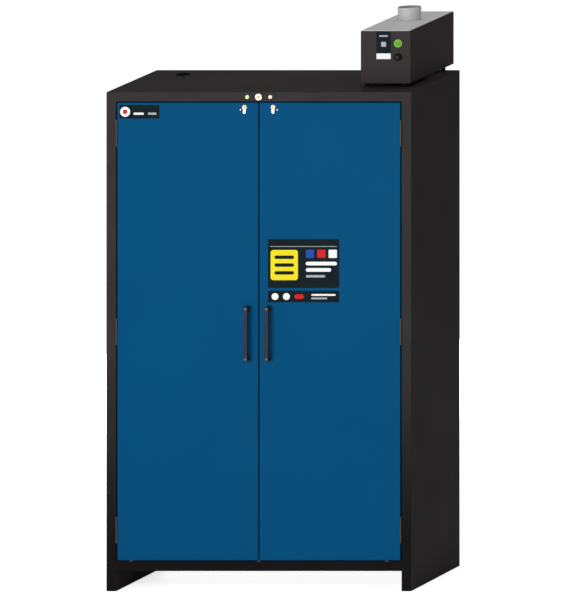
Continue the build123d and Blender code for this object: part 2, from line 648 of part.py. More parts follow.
for lamp_name, side in (("green_lamp", -1), ("amber_lamp", 1)):
    with BuildPart() as lamp:
        rod(side * LAMP_FROM_CENTRE, DEVICE_Z, FRONT - LENS_PROUD, FRONT, LENS_RADIUS)
        fillet(lamp.faces().sort_by(Axis.Y)[0].edges(), LENS_PROUD * 0.9)
        rod(side * LAMP_FROM_CENTRE, DEVICE_Z, FRONT, FRONT + LAMP_LENGTH, LAMP_RADIUS)
    write(lamp.part, lamp_name)

# ---------------------------------------------------------------- inside
for number, shelf_top in enumerate(SHELF_TOPS, start=1):
    with BuildPart() as shelf:
        block((-SHELF_X, SHELF_FRONT, shelf_top - SHELF_EDGE), (SHELF_X, SHELF_BACK, shelf_top))
        block(
            (-SHELF_X + SHEET, SHELF_FRONT + SHEET, shelf_top - SHELF_EDGE),
            (SHELF_X - SHEET, SHELF_BACK - SHEET, shelf_top - SHEET),
            Mode.SUBTRACT,
        )
        with BuildSketch(Plane.XY.offset(shelf_top - SHEET)):
            with Locations((0, (SHELF_FRONT + SHELF_BACK) / 2)):
                with GridLocations(*SHELF_SLOT_PITCH, *SHELF_SLOT_COUNT):
                    Rectangle(*SHELF_SLOT)
        extrude(amount=SHEET, mode=Mode.SUBTRACT)
    write(shelf.part, f"shelf_{number}")

with BuildPart() as floor_tray:
    tray_x = INTERIOR_X - TRAY_GAP
    tray_low = (-tray_x, WALL_FRONT + TRAY_GAP, INTERIOR_BOTTOM)
    tray_high = (tray_x, INTERIOR_BACK - TRAY_GAP, INTERIOR_BOTTOM + TRAY_HEIGHT)
    block(tray_low, tray_high)
    block(
        [low + SHEET for low in tray_low],
        (tray_high[0] - SHEET, tray_high[1] - SHEET, tray_high[2]),
        Mode.SUBTRACT,
    )
write(floor_tray.part, "floor_tray")

with BuildPart() as shelf_rails:
    rail_height = INTERIOR_TOP - RAIL_ABOVE_TRAY - RAIL_BOTTOM
    for side in (-1, 1):
        xs = sorted((side * (INTERIOR_X - RAIL_DEPTH), side * INTERIOR_X))
        for rail_y in RAIL_YS:
            block(
                (xs[0], rail_y - RAIL_WIDTH / 2, RAIL_BOTTOM),
                (xs[1], rail_y + RAIL_WIDTH / 2, RAIL_BOTTOM + rail_height),
            )
            slot_count = int(rail_height / RAIL_SLOT_PITCH)
            middle = (RAIL_BOTTOM + rail_height / 2, rail_y)
            with BuildSketch(Plane((xs[0], 0, 0), x_dir=(0, 0, 1), z_dir=(1, 0, 0))):
                with Locations((middle[0], -middle[1])):
                    with GridLocations(RAIL_SLOT_PITCH, 1, slot_count, 1):
                        Rectangle(RAIL_SLOT[1], RAIL_SLOT[0])
            extrude(amount=RAIL_DEPTH, mode=Mode.SUBTRACT)
write(shelf_rails.part, "shelf_rails")

with BuildPart() as shelf_clips:
    for side in (-1, 1):
        clip_x = side * (INTERIOR_X - RAIL_DEPTH - CLIP[0] / 2)
        for rail_y in RAIL_YS:
            for shelf_top in SHELF_TOPS:
                with Locations((clip_x, rail_y, shelf_top - SHELF_EDGE - CLIP[2] / 2)):
                    Box(*CLIP)
write(shelf_clips.part, "shelf_clips")

with BuildPart() as socket_strips:
    for strip_z in STRIP_ZS:
        housing_front = (-STRIP[0] / 2, STRIP_FRONT + INSERT_DEPTH, strip_z)
        block(housing_front, (STRIP[0] / 2, INTERIOR_BACK, strip_z + STRIP[2]))
write(socket_strips.part, "socket_strips")

with BuildPart() as socket_inserts:
    for strip_z in STRIP_ZS:
        insert_low = (-INSERT_LENGTH / 2, STRIP_FRONT, strip_z + STRIP_RIM)
        insert_top = strip_z + STRIP_RIM + INSERT_HEIGHT
        block(insert_low, (INSERT_LENGTH / 2, STRIP_FRONT + INSERT_DEPTH, insert_top))
        face = facing(0, STRIP_FRONT, strip_z + STRIP[2] / 2)
        with BuildSketch(face):
            with GridLocations(SOCKET_PITCH, 1, SOCKETS_PER_STRIP, 1):
                Circle(SOCKET_RADIUS)
        extrude(amount=-SOCKET_DEPTH, mode=Mode.SUBTRACT)
        with BuildSketch(face):
            with GridLocations(SOCKET_PITCH, 1, SOCKETS_PER_STRIP, 1):
                with GridLocations(PIN_HOLE_SPACING, 1, 2, 1):
                    Circle(PIN_HOLE_RADIUS)
        extrude(amount=-(SOCKET_DEPTH + INSERT_DEPTH) / 2, mode=Mode.SUBTRACT)
write(socket_inserts.part, "socket_inserts")

with BuildPart() as fire_detector:
    detector_y = (WALL_FRONT + INTERIOR_BACK) / 2
    standing(0, detector_y, INTERIOR_TOP - DETECTOR_HEIGHT, INTERIOR_TOP, DETECTOR_RADIUS)
    fillet(fire_detector.faces().sort_by(Axis.Z)[0].edges(), DETECTOR_ROUND)
write(fire_detector.part, "fire_detector")

# ---------------------------------------------------------------- duct and port
with BuildPart() as air_duct:
    grille_bottom = INTERIOR_TOP - GRILLE_THICKNESS
    duct_top = UNIT_FLOOR + DUCT_ABOVE_UNIT_FLOOR
    standing(PORT_X, PORT_Y, grille_bottom, INTERIOR_TOP, DUCT_RADIUS + GRILLE_LIP)
    standing(PORT_X, PORT_Y, INTERIOR_TOP, duct_top, DUCT_RADIUS)
    standing(PORT_X, PORT_Y, INTERIOR_TOP, duct_top, DUCT_RADIUS - DUCT_WALL, Mode.SUBTRACT)
    slot_count = int(2 * (DUCT_RADIUS - DUCT_WALL) / GRILLE_SLOT_PITCH)
    with BuildSketch(Plane.XY.offset(grille_bottom)) as grille_slots:
        with Locations((PORT_X, PORT_Y)):
            with GridLocations(GRILLE_SLOT_PITCH, 1, slot_count, 1):
                Rectangle(GRILLE_SLOT_WIDTH, 2 * DUCT_RADIUS)
            Circle(DUCT_RADIUS - DUCT_WALL, mode=Mode.INTERSECT)
    extrude(amount=GRILLE_THICKNESS, mode=Mode.SUBTRACT)
write(air_duct.part, "air_duct")

with BuildPart() as roof_grommet:
    lip_top = CABINET_HEIGHT + GROMMET_LIP
    standing(-PORT_X, PORT_Y, ROOF_BOTTOM - GROMMET_LIP, CABINET_HEIGHT, GROMMET_RADIUS)
    standing(-PORT_X, PORT_Y, CABINET_HEIGHT, lip_top, GROMMET_RADIUS + GROMMET_LIP)
    fillet(roof_grommet.faces().sort_by(Axis.Z)[-1].edges(), GROMMET_LIP / 2)
    bore = GROMMET_RADIUS - GROMMET_WALL
    standing(-PORT_X, PORT_Y, ROOF_BOTTOM - GROMMET_LIP, lip_top, bore, Mode.SUBTRACT)
write(roof_grommet.part, "roof_grommet")

# ---------------------------------------------------------------- fan unit
with BuildPart() as unit_casing:
    block((UNIT_LEFT, UNIT_FRONT, UNIT_BOTTOM), (UNIT_RIGHT, UNIT_BACK, CASING_TOP))
    fillet(unit_casing.edges().filter_by(Axis.Z), FOLD_RADIUS)
    for inset, top in ((UNIT_SHEET, CASING_TOP - UNIT_SHEET), (UNIT_RIM, CASING_TOP)):
        block(
            (UNIT_LEFT + inset, UNIT_FRONT + inset, UNIT_FLOOR),
            (UNIT_RIGHT - inset, UNIT_BACK - inset, top),
            Mode.SUBTRACT,
        )
    standing(PORT_X, PORT_Y, UNIT_BOTTOM, UNIT_FLOOR, DUCT_RADIUS + CLEARANCE, Mode.SUBTRACT)
    for button_z in (START_Z, MUTE_Z):
        casing_front = UNIT_FRONT + UNIT_SHEET
        rod(BUTTON_X, button_z, UNIT_FRONT, casing_front, BEZEL_BARREL_RADIUS, Mode.SUBTRACT)
write(unit_casing.part, "unit_casing")

with BuildPart() as unit_cover:
    block(
        (UNIT_LEFT + COVER_INSET, UNIT_FRONT + COVER_INSET, CASING_TOP),
        (UNIT_RIGHT - COVER_INSET, UNIT_BACK - COVER_INSET, UNIT_TOP),
    )
    lip_out = UNIT_RIM + CLEARANCE
    lip_in = lip_out + UNIT_SHEET
    for reach, mode in ((lip_out, Mode.ADD), (lip_in, Mode.SUBTRACT)):
        block(
            (UNIT_LEFT + reach, UNIT_FRONT + reach, CASING_TOP - COVER_LIP),
            (UNIT_RIGHT - reach, UNIT_BACK - reach, CASING_TOP),
            mode,
        )
    standing(PORT_X, SPIGOT_Y, CASING_TOP, UNIT_TOP, SPIGOT_RADIUS - SPIGOT_WALL, Mode.SUBTRACT)
write(unit_cover.part, "unit_cover")

with BuildPart() as unit_feet:
    for foot_y, inset in ((FRONT_FOOT_Y, FOOT_INSET), (REAR_FOOT_Y, REAR_FOOT_INSET)):
        for foot_x in (UNIT_LEFT + inset, UNIT_RIGHT - inset):
            standing(foot_x, foot_y, CABINET_HEIGHT, UNIT_BOTTOM, FOOT_RADIUS)
write(unit_feet.part, "unit_feet")

with BuildPart() as unit_spigot:
    flange_top = UNIT_TOP + COVER_THICKNESS
    standing(PORT_X, SPIGOT_Y, UNIT_TOP, flange_top, SPIGOT_RADIUS + SPIGOT_FLANGE)
    standing(PORT_X, SPIGOT_Y, UNIT_TOP, UNIT_TOP + SPIGOT_HEIGHT, SPIGOT_RADIUS)
    bore = SPIGOT_RADIUS - SPIGOT_WALL
    standing(PORT_X, SPIGOT_Y, UNIT_TOP, UNIT_TOP + SPIGOT_HEIGHT, bore, Mode.SUBTRACT)
write(unit_spigot.part, "unit_spigot")

for bezel_name, radius, button_z in (
    ("start_bezel", START_BEZEL_RADIUS, START_Z),
    ("mute_bezel", MUTE_BEZEL_RADIUS, MUTE_Z),
):
    with BuildPart() as bezel:
        bore = BUTTON_RADIUS + BUTTON_PLAY
        tube(BUTTON_X, button_z, UNIT_FRONT - BEZEL_PROUD, UNIT_FRONT, radius, bore)
        barrel_back = UNIT_FRONT - BEZEL_PROUD + BEZEL_BARREL_LENGTH
        tube(BUTTON_X, button_z, UNIT_FRONT, barrel_back, BEZEL_BARREL_RADIUS, bore)
    write(bezel.part, bezel_name)

with BuildPart() as start_button:
    button_front = UNIT_FRONT - BEZEL_PROUD - BUTTON_PROUD
    rod(BUTTON_X, START_Z, button_front, button_front + BUTTON_LENGTH, BUTTON_RADIUS)
    fillet(start_button.faces().sort_by(Axis.Y)[0].edges(), BUTTON_PROUD / 4)
write(start_button.part, "start_button")

with BuildPart() as mute_button:
    dome_back = UNIT_FRONT - BEZEL_PROUD - BUTTON_TRAVEL - CLEARANCE
    rod(BUTTON_X, MUTE_Z, dome_back - DOME_HEIGHT, dome_back, DOME_RADIUS)
    fillet(mute_button.faces().sort_by(Axis.Y)[0].edges(), DOME_HEIGHT * 0.8)
    rod(BUTTON_X, MUTE_Z, dome_back, dome_back + BUTTON_LENGTH, BUTTON_RADIUS)
write(mute_button.part, "mute_button")

with BuildPart() as fan_wheel:
    disc_bottom = WHEEL_TOP - WHEEL_DISC
    standing(PORT_X, PORT_Y, disc_bottom, WHEEL_TOP, WHEEL_RADIUS)
    with BuildSketch(Plane.XY.offset(WHEEL_BOTTOM)):
        with Locations((PORT_X, PORT_Y)):
            Circle(WHEEL_RADIUS)
            Circle(WHEEL_EYE_RADIUS, mode=Mode.SUBTRACT)
    extrude(amount=WHEEL_DISC)
    blade_length = WHEEL_RADIUS - WHEEL_EYE_RADIUS
    with BuildSketch(Plane.XY.offset(WHEEL_BOTTOM)):
        with Locations((PORT_X, PORT_Y)):
            with PolarLocations((WHEEL_RADIUS + WHEEL_EYE_RADIUS) / 2, WHEEL_BLADES):
                Rectangle(blade_length, BLADE_THICKNESS, rotation=BLADE_SWEEP)
    extrude(amount=WHEEL_HEIGHT)
    standing(PORT_X, PORT_Y, WHEEL_BOTTOM + WHEEL_HEIGHT / 2, WHEEL_TOP, HUB_RADIUS)
    standing(PORT_X, PORT_Y, WHEEL_TOP, WHEEL_TOP + SHAFT_LENGTH, SHAFT_RADIUS)
write(fan_wheel.part, "fan_wheel")

with BuildPart() as fan_motor:
    standing(PORT_X, PORT_Y, MOTOR_BOTTOM, MOTOR_TOP, MOTOR_RADIUS)
    bracket_ys = (PORT_Y - BRACKET_WIDTH / 2, PORT_Y + BRACKET_WIDTH / 2)
    inner_xs = (UNIT_LEFT + UNIT_SHEET, UNIT_RIGHT - UNIT_SHEET)
    bracket_top = MOTOR_TOP + UNIT_SHEET
    block((inner_xs[0], bracket_ys[0], MOTOR_TOP), (inner_xs[1], bracket_ys[1], bracket_top))
    for foot_x in (inner_xs[0], inner_xs[1] - UNIT_SHEET):
        low = (foot_x, bracket_ys[0], MOTOR_TOP - BRACKET_DROP)
        block(low, (foot_x + UNIT_SHEET, bracket_ys[1], MOTOR_TOP))
    bore_top = WHEEL_TOP + SHAFT_LENGTH + MECHANISM_GAP
    standing(PORT_X, PORT_Y, MOTOR_BOTTOM, bore_top, SHAFT_RADIUS + SHAFT_PLAY, Mode.SUBTRACT)
write(fan_motor.part, "fan_motor")
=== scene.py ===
"""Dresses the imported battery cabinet: finishes, plates, lamps, fittings, studio, light and camera.

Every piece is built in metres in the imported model's frame: +X to the viewer's right, +Y from the
doors to the back and +Z up from the floor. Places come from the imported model's own boxes.
"""

import json
import logging
import math
from dataclasses import dataclass, field
from enum import Enum

import bmesh
import bpy
from mathutils import Matrix, Vector


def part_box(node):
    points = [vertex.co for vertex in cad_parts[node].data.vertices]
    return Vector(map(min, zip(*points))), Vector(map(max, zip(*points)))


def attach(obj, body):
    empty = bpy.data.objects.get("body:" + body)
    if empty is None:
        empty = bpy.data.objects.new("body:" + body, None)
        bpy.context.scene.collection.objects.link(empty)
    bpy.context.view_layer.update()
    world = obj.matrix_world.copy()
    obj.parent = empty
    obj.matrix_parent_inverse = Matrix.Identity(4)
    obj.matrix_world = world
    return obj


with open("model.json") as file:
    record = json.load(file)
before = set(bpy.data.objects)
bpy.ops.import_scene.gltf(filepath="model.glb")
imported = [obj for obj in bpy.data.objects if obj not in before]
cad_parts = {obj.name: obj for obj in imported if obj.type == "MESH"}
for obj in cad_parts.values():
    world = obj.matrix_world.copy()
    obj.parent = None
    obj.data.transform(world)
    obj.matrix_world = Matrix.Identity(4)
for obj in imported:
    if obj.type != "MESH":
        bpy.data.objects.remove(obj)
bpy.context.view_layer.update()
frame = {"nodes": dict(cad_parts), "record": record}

LOG = logging.getLogger("cabinet")
MM = 0.001
Colour = tuple[float, float, float]
Point = tuple[float, float, float]
Pair = tuple[float, float]
Mesh = bmesh.types.BMesh
Socket = bpy.types.NodeSocket

# The middle part of a noise pattern's values, which the patterns here stretch over their own range.
NOISE_MIDDLE = (0.3, 0.7)
DRIFT_DETAIL = 4.0
GRAIN_DETAIL = 2.0
# The most that roughness drifts from its mean, outright and as a share of the mean.
ROUGHNESS_DRIFT = 0.06
ROUGHNESS_SHARE = 1 / 3
# Heights in metres between which the painted shade toward the floor ends and begins.
PAINTED_SHADE_HEIGHTS = (0.2, 1.0)
# A face looks forward when its normal's Y is below this; only such faces get the painted shade.
FORWARD_NORMAL = -0.5
# Places of the Mix node's two plain values and two colours among its inputs.
MIX_VALUES = (2, 3)
MIX_COLOURS = (6, 7)
# Steps round a rounded corner, and the share of a plate's thickness and corner that is softened.
CORNER_STEPS = 6
SOFT_SHARE = 0.4
# Flat sides round a turned shape: the usual number, and those of a small one and a smooth one.
TURNED_SIDES = 40
SMALL_SIDES = 24
SMOOTH_SIDES = 72


def srgb(red: int, green: int, blue: int) -> Colour:
    """Turns a screen colour, 0 to 255 a channel, into linear light."""
    parts = [c / 255 for c in (red, green, blue)]
    return tuple(c / 12.92 if c <= 0.04045 else ((c + 0.055) / 1.055) ** 2.4 for c in parts)


def scaled(colour: Colour, factor: float) -> Colour:
    """Makes a colour lighter or darker by a factor, kept within 0 to 1."""
    return tuple(min(1.0, c * factor) for c in colour)


# ---------------------------------------------------------------- finishes
class ShaderSheet:
    """The node tree of one material, with short calls that add and wire nodes."""

    def __init__(self, name: str) -> None:
        """Starts a material with a Principled shader wired to its output.

        Args:
            name: the material's name.
        """
        self.material = bpy.data.materials.new(name)
        self.material.use_nodes = True
        self.nodes = self.material.node_tree.nodes
        self.links = self.material.node_tree.links
        self.shader = self.nodes["Principled BSDF"]
        self.given = self.nodes.new("ShaderNodeTexCoord").outputs

    def set(self, **values: object) -> None:
        """Sets the shader's own sockets, named with underscores for spaces."""
        for key, value in values.items():
            if isinstance(value, tuple) and len(value) == 3:
                value = (*value, 1.0)
            self.shader.inputs[key.replace("_", " ")].default_value = value

    def stretched(self, stretch: Point) -> Socket:
        """Gives the object coordinates multiplied by a factor along each axis."""
        node = self.nodes.new("ShaderNodeMapping")
        node.inputs["Scale"].default_value = stretch
        self.links.new(self.given["Object"], node.inputs["Vector"])
        return node.outputs["Vector"]

    def noise(self, size: float, detail: float, stretch: Point) -> Socket:
        """Adds a noise pattern.

        Args:
            size: the size of its blotches in metres.
            detail: how many finer layers it has.
            stretch: factors on the three axes.

        Returns:
            The noise value, about 0.5 on average.
        """
        node = self.nodes.new("ShaderNodeTexNoise")
        node.inputs["Scale"].default_value = 1 / size
        node.inputs["Detail"].default_value = detail
        self.links.new(self.stretched(stretch), node.inputs["Vector"])
        return node.outputs["Fac"]

    def ranged(self, value: Socket, source: Pair, target: Pair) -> Socket:
        """Maps one range of a value onto another and holds it at their ends."""
        node = self.nodes.new("ShaderNodeMapRange")
        names = ("From Min", "From Max", "To Min", "To Max")
        for name, number in zip(names, (*source, *target)):
            node.inputs[name].default_value = number
        self.links.new(value, node.inputs["Value"])
        return node.outputs["Result"]

    def spread(self, value: Socket, low: float, high: float) -> Socket:
        """Maps the middle of a noise value onto the range from low to high."""
        return self.ranged(value, NOISE_MIDDLE, (low, high))

    def blend(self, value: Socket, first: Colour, second: Colour) -> Socket:
        """Mixes two colours by a value from 0 to 1."""
        node = self.nodes.new("ShaderNodeMix")
        node.data_type = "RGBA"
        for place, colour in zip(MIX_COLOURS, (first, second)):
            node.inputs[place].default_value = (*colour, 1.0)
        self.links.new(value, node.inputs[0])
        return node.outputs[2]

    def along(self, vector: Socket, axis: str) -> Socket:
        """Gives a vector's value along one axis."""
        node = self.nodes.new("ShaderNodeSeparateXYZ")
        self.links.new(vector, node.inputs["Vector"])
        return node.outputs[axis]

    def painted_foot_shade(self, share: float) -> Socket:
        """Gives a factor of painted shade that falls toward the floor on faces that look forward.

        Args:
            share: what is left of it at the height where the fall ends.

        Returns:
            The factor, which is 1 on every other face.
        """
        fall = self.ranged(self.along(self.given["Object"], "Z"), PAINTED_SHADE_HEIGHTS, (share, 1.0))
        forward = self.nodes.new("ShaderNodeMath")
        forward.operation = "LESS_THAN"
        forward.inputs[1].default_value = FORWARD_NORMAL
        self.links.new(self.along(self.given["Normal"], "Y"), forward.inputs[0])
        factor = self.nodes.new("ShaderNodeMix")
        elsewhere, facing = MIX_VALUES
        factor.inputs[elsewhere].default_value = 1.0
        self.links.new(forward.outputs[0], factor.inputs[0])
        self.links.new(fall, factor.inputs[facing])
        return factor.outputs[0]

    def dimmed(self, colour: Socket, factor: Socket) -> Socket:
        """Multiplies a colour by a factor."""
        node = self.nodes.new("ShaderNodeVectorMath")
        node.operation = "SCALE"
        self.links.new(colour, node.inputs[0])
        self.links.new(factor, node.inputs["Scale"])
        return node.outputs[0]

    def wire(self, value: Socket, socket: str) -> None:
        """Wires a value into one of the shader's sockets."""
        self.links.new(value, self.shader.inputs[socket])

    def bump(self, height: Socket, depth: float) -> None:
        """Raises the surface by a height pattern, by at most depth in metres."""
        node = self.nodes.new("ShaderNodeBump")
        node.inputs["Distance"].default_value = depth
        self.links.new(height, node.inputs["Height"])
        self.links.new(node.outputs["Normal"], self.shader.inputs["Normal"])


@dataclass(frozen=True)
class Finish:
    """A surface finish, turned into a procedural material the first time that it is used.

    Attributes:
        name: the material's name, after what it is on.
        colour: its mean colour in linear light.
        roughness: its mean roughness.
        tone: how far the colour drifts from place to place, as a share.
        patch: the size of that drift in metres.
        grain: the size of the fine texture in metres.
        relief: the depth of the fine texture in metres.
        metallic: 1 for bare metal.
        shine: the strength of its plain reflection.
        coat: the weight of a clear coat over it.
        stretch: factors that draw the pattern out along the axes.
        glow: the strength of its own light.
        foot: the share of its colour that its forward faces keep near the floor; this darkening is
            painted shade.
    """

    name: str
    colour: Colour
    roughness: float = 0.5
    tone: float = 0.06
    patch: float = 0.25
    grain: float = 0.0012
    relief: float = 0.00004
    metallic: float = 0.0
    shine: float = 0.5
    coat: float = 0.0
    stretch: Point = (1, 1, 1)
    glow: float = 0.0
    foot: float = 1.0

    def material(self) -> bpy.types.Material:
        """Builds the material, or gives the one that is already built."""
        made = bpy.data.materials.get(self.name)
        if made is not None and made.get("dressed"):
            return made
        sheet = ShaderSheet(self.name)
        drift = sheet.spread(sheet.noise(self.patch, DRIFT_DETAIL, self.stretch), 0.0, 1.0)
        pair = (scaled(self.colour, 1 - self.tone), scaled(self.colour, 1 + self.tone))
        colour = sheet.blend(drift, *pair)
        # Painted shade: forward faces are darkened toward the floor.
        if self.foot < 1:
            colour = sheet.dimmed(colour, sheet.painted_foot_shade(self.foot))
        sheet.wire(colour, "Base Color")
        fine = sheet.noise(self.grain, GRAIN_DETAIL, self.stretch)
        change = min(ROUGHNESS_DRIFT, self.roughness * ROUGHNESS_SHARE)
        rough = sheet.spread(fine, self.roughness - change, self.roughness + change)
        sheet.wire(rough, "Roughness")
        sheet.bump(fine, self.relief)
        sheet.set(Metallic=self.metallic, Coat_Weight=self.coat, Specular_IOR_Level=self.shine)
        if self.glow:
            sheet.set(Emission_Color=self.colour, Emission_Strength=self.glow)
        sheet.material["dressed"] = True
        return sheet.material

    def dress(self, obj: bpy.types.Object) -> None:
        """Gives an object this finish in its only material slot."""
        obj.data.materials.clear()
        obj.data.materials.append(self.material())


# The carcass's forward faces get painted shade, darker toward the floor (foot=0.25).
CARCASS = Finish(
    "carcass_powder_coat_and_painted_shade", srgb(55, 51, 51),
    roughness=0.55, tone=0.10, relief=0.00006, shine=0.012, foot=0.25,
)  # fmt: skip
UNIT = Finish(
    "fan_unit_powder_coat", srgb(62, 56, 57),
    roughness=0.5, tone=0.08, relief=0.00006, shine=0.01,
)  # fmt: skip
DOOR = Finish(
    "door_blue_coat", srgb(4, 76, 119),
    roughness=0.45, tone=0.04, patch=0.5, relief=0.00003, shine=0.015,
)  # fmt: skip
DOOR_INSIDE = Finish("door_liner_coat", srgb(186, 188, 188), roughness=0.42, tone=0.04)
COVER = Finish("unit_cover_coat", srgb(222, 222, 223), roughness=0.45, tone=0.04)
SPIGOT = Finish("spigot_zinc_coat", srgb(208, 208, 209), roughness=0.45, tone=0.04)
PAD = Finish("pad_grey_rubber", srgb(88, 86, 86), roughness=0.7, tone=0.08, shine=0.05)
BOARD = Finish(
    "mineral_board", srgb(196, 190, 176),
    roughness=0.9, tone=0.10, grain=0.002, relief=0.0003,
)  # fmt: skip
LINING = Finish(
    "white_lining_board", srgb(220, 220, 216),
    roughness=0.35, tone=0.03, relief=0.00002,
)  # fmt: skip
RUBBER = Finish(
    "black_rubber", srgb(17, 17, 18),
    roughness=0.8, tone=0.15, grain=0.0008, shine=0.05,
)  # fmt: skip
SEAL = Finish("swelling_seal", srgb(58, 56, 54), roughness=0.85, tone=0.12, grain=0.0008)
HINGE = Finish("hinge_dark_steel", srgb(50, 46, 45), roughness=0.45, tone=0.12, grain=0.0006)
STEEL = Finish("turned_steel", srgb(188, 188, 186), roughness=0.32, metallic=1.0, stretch=(1, 1, 8))
ZINC = Finish("bright_zinc", srgb(206, 206, 204), roughness=0.25, metallic=1.0, grain=0.0006)
BRONZED = Finish(
    "bronzed_screw", srgb(122, 106, 92),
    roughness=0.45, tone=0.1, grain=0.0006, shine=0.3,
)  # fmt: skip
NICKEL = Finish("satin_nickel", srgb(178, 172, 162), roughness=0.3, metallic=1.0, stretch=(6, 1, 1))
BRASS = Finish("key_plug_brass", srgb(158, 126, 78), roughness=0.34, metallic=1.0, tone=0.12)
HANDLE = Finish("handle_satin_dark", srgb(47, 47, 56), roughness=0.45, tone=0.08, shine=0.1)
SHELF = Finish("shelf_grey_coat", srgb(148, 151, 154), roughness=0.45, tone=0.05)
TRAY = Finish("tray_grey_coat", srgb(118, 121, 124), roughness=0.5, tone=0.07)
GALVANISED = Finish(
    "galvanised_sheet", srgb(170, 173, 176),
    roughness=0.4, metallic=0.9, patch=0.02, tone=0.16,
)  # fmt: skip
ALUMINIUM = Finish(
    "strip_aluminium", srgb(176, 178, 180),
    roughness=0.35, metallic=1.0, stretch=(1, 8, 8),
)  # fmt: skip
SOCKET = Finish("socket_black_plastic", srgb(33, 34, 35), roughness=0.45, tone=0.1, grain=0.0009)
DETECTOR = Finish("detector_white_plastic", srgb(224, 224, 219), roughness=0.5, tone=0.03)
BLACK_GLOSS = Finish(
    "black_gloss_plastic", srgb(22, 24, 24),
    roughness=0.35, tone=0.1, relief=0.000005, shine=0.07,
)  # fmt: skip
# Black matt plastic of the fan, also laid on screw heads as the painted shade of their drive
# recesses.
BLACK_MATT = Finish("black_matt_plastic_and_recess_shade", srgb(36, 37, 39), roughness=0.55, tone=0.1)
MOTOR = Finish("motor_grey_coat", srgb(72, 74, 76), roughness=0.5, tone=0.1)
GREEN_LENS = Finish(
    "green_lamp_lens", srgb(176, 214, 128),
    roughness=0.2, coat=0.5, glow=0.7, relief=0.00001,
)  # fmt: skip
AMBER_LENS = Finish(
    "amber_lamp_lens", srgb(226, 200, 158),
    roughness=0.2, coat=0.5, glow=0.6, relief=0.00001,
)  # fmt: skip
GREEN_RING = Finish(
    "green_lit_ring", srgb(112, 172, 42),
    roughness=0.4, shine=0.2, glow=0.25, relief=0.00001,
)  # fmt: skip
GREEN_BUTTON = Finish(
    "green_button", srgb(78, 148, 12),
    roughness=0.4, shine=0.2, glow=0.25, relief=0.00001,
)  # fmt: skip
PLATE_DARK = Finish(
    "plate_dark_film", srgb(13, 27, 33),
    roughness=0.4, tone=0.06, relief=0.00001, shine=0.03,
)  # fmt: skip
PLATE_WHITE = Finish(
    "plate_white_film", srgb(232, 232, 232),
    roughness=0.35, tone=0.02, relief=0.00001,
)  # fmt: skip
PLATE_YELLOW = Finish(
    "plate_yellow_film", srgb(234, 216, 14),
    roughness=0.35, tone=0.03, relief=0.00001, shine=0.1,
)  # fmt: skip
PLATE_GREY = Finish(
    "plate_grey_film", srgb(150, 154, 158),
    roughness=0.35, tone=0.03, relief=0.00001,
)  # fmt: skip
PLATE_RED = Finish(
    "plate_red_film", srgb(196, 20, 26),
    roughness=0.45, tone=0.04, relief=0.00001, shine=0.1,
)  # fmt: skip
PLATE_BLUE = Finish(
    "plate_blue_film", srgb(16, 70, 160),
    roughness=0.45, tone=0.04, relief=0.00001, shine=0.1,
)  # fmt: skip
FLOOR = Finish("studio_floor", srgb(250, 250, 250), roughness=0.9, tone=0.01, patch=2.0, glow=0.8)

BY_SLOT: dict[str, Finish] = {
    "carcass_paint": CARCASS,
    "door_paint": DOOR,
    "door_liner": DOOR_INSIDE,
    "insulation": BOARD,
    "lining_board": LINING,
    "gasket_rubber": RUBBER,
    "seal_strip": SEAL,
    "hinge_steel": HINGE,
    "pin_steel": STEEL,
    "handle": HANDLE,
    "screw_steel": BRONZED,
    "lock_nickel": NICKEL,
    "lock_brass": BRASS,
    "bolt_steel": STEEL,
    "lens_green": GREEN_LENS,
    "lens_amber": AMBER_LENS,
    "shelf_sheet": SHELF,
    "galvanised": GALVANISED,
    "tray_sheet": TRAY,
    "strip_aluminium": ALUMINIUM,
    "socket_plastic": SOCKET,
    "detector": DETECTOR,
    "grommet": RUBBER,
    "unit_paint": UNIT,
    "unit_cover": COVER,
    "spigot": SPIGOT,
    "feet_rubber": RUBBER,
    "bezel": GREEN_RING,
    "start_button": GREEN_BUTTON,
    "mute_button": BLACK_GLOSS,
    "fan_plastic": BLACK_MATT,
    "motor": MOTOR,
}


def dress_frame() -> None:
    """Gives every carried-over node the finish of its material slot."""
    for part in frame["record"]["subparts"]:
        BY_SLOT[part["material_slot"]].dress(frame["nodes"][part["node"]])
    LOG.info("dressed %d nodes", len(frame["nodes"]))


# ---------------------------------------------------------------- meshes
class Facing(Enum):
    """Which way a flat or turned piece looks: its own +Z is laid along this direction."""

    FRONT = (0, -1, 0)
    BACK = (0, 1, 0)
    UP = (0, 0, 1)
    DOWN = (0, 0, -1)

    def placed(self, at: Point) -> Matrix:
        """Gives the matrix that puts a piece at a point, its own +Y upright where it can be."""
        out = Vector(self.value)
        up = Vector((0, 1, 0)) if self in (Facing.UP, Facing.DOWN) else Vector((0, 0, 1))
        across = up.cross(out)
        turn = Matrix((across, up, out)).transposed().to_4x4()
        return Matrix.Translation(at) @ turn


def piece(name: str, mesh: Mesh, finish: Finish, body: str) -> None:
    """Turns finished mesh data into an object that rides on a body.

    Args:
        name: the object's name.
        mesh: its geometry, already in place; it is freed here.
        finish: its finish.
        body: the body that it moves with.
    """
    bmesh.ops.recalc_face_normals(mesh, faces=mesh.faces)
    data = bpy.data.meshes.new(name)
    mesh.to_mesh(data)
    mesh.free()
    obj = bpy.data.objects.new(name, data)
    bpy.context.scene.collection.objects.link(obj)
    finish.dress(obj)
    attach(obj, body)
    LOG.info("piece %s: %d faces on %s", name, len(data.polygons), body)


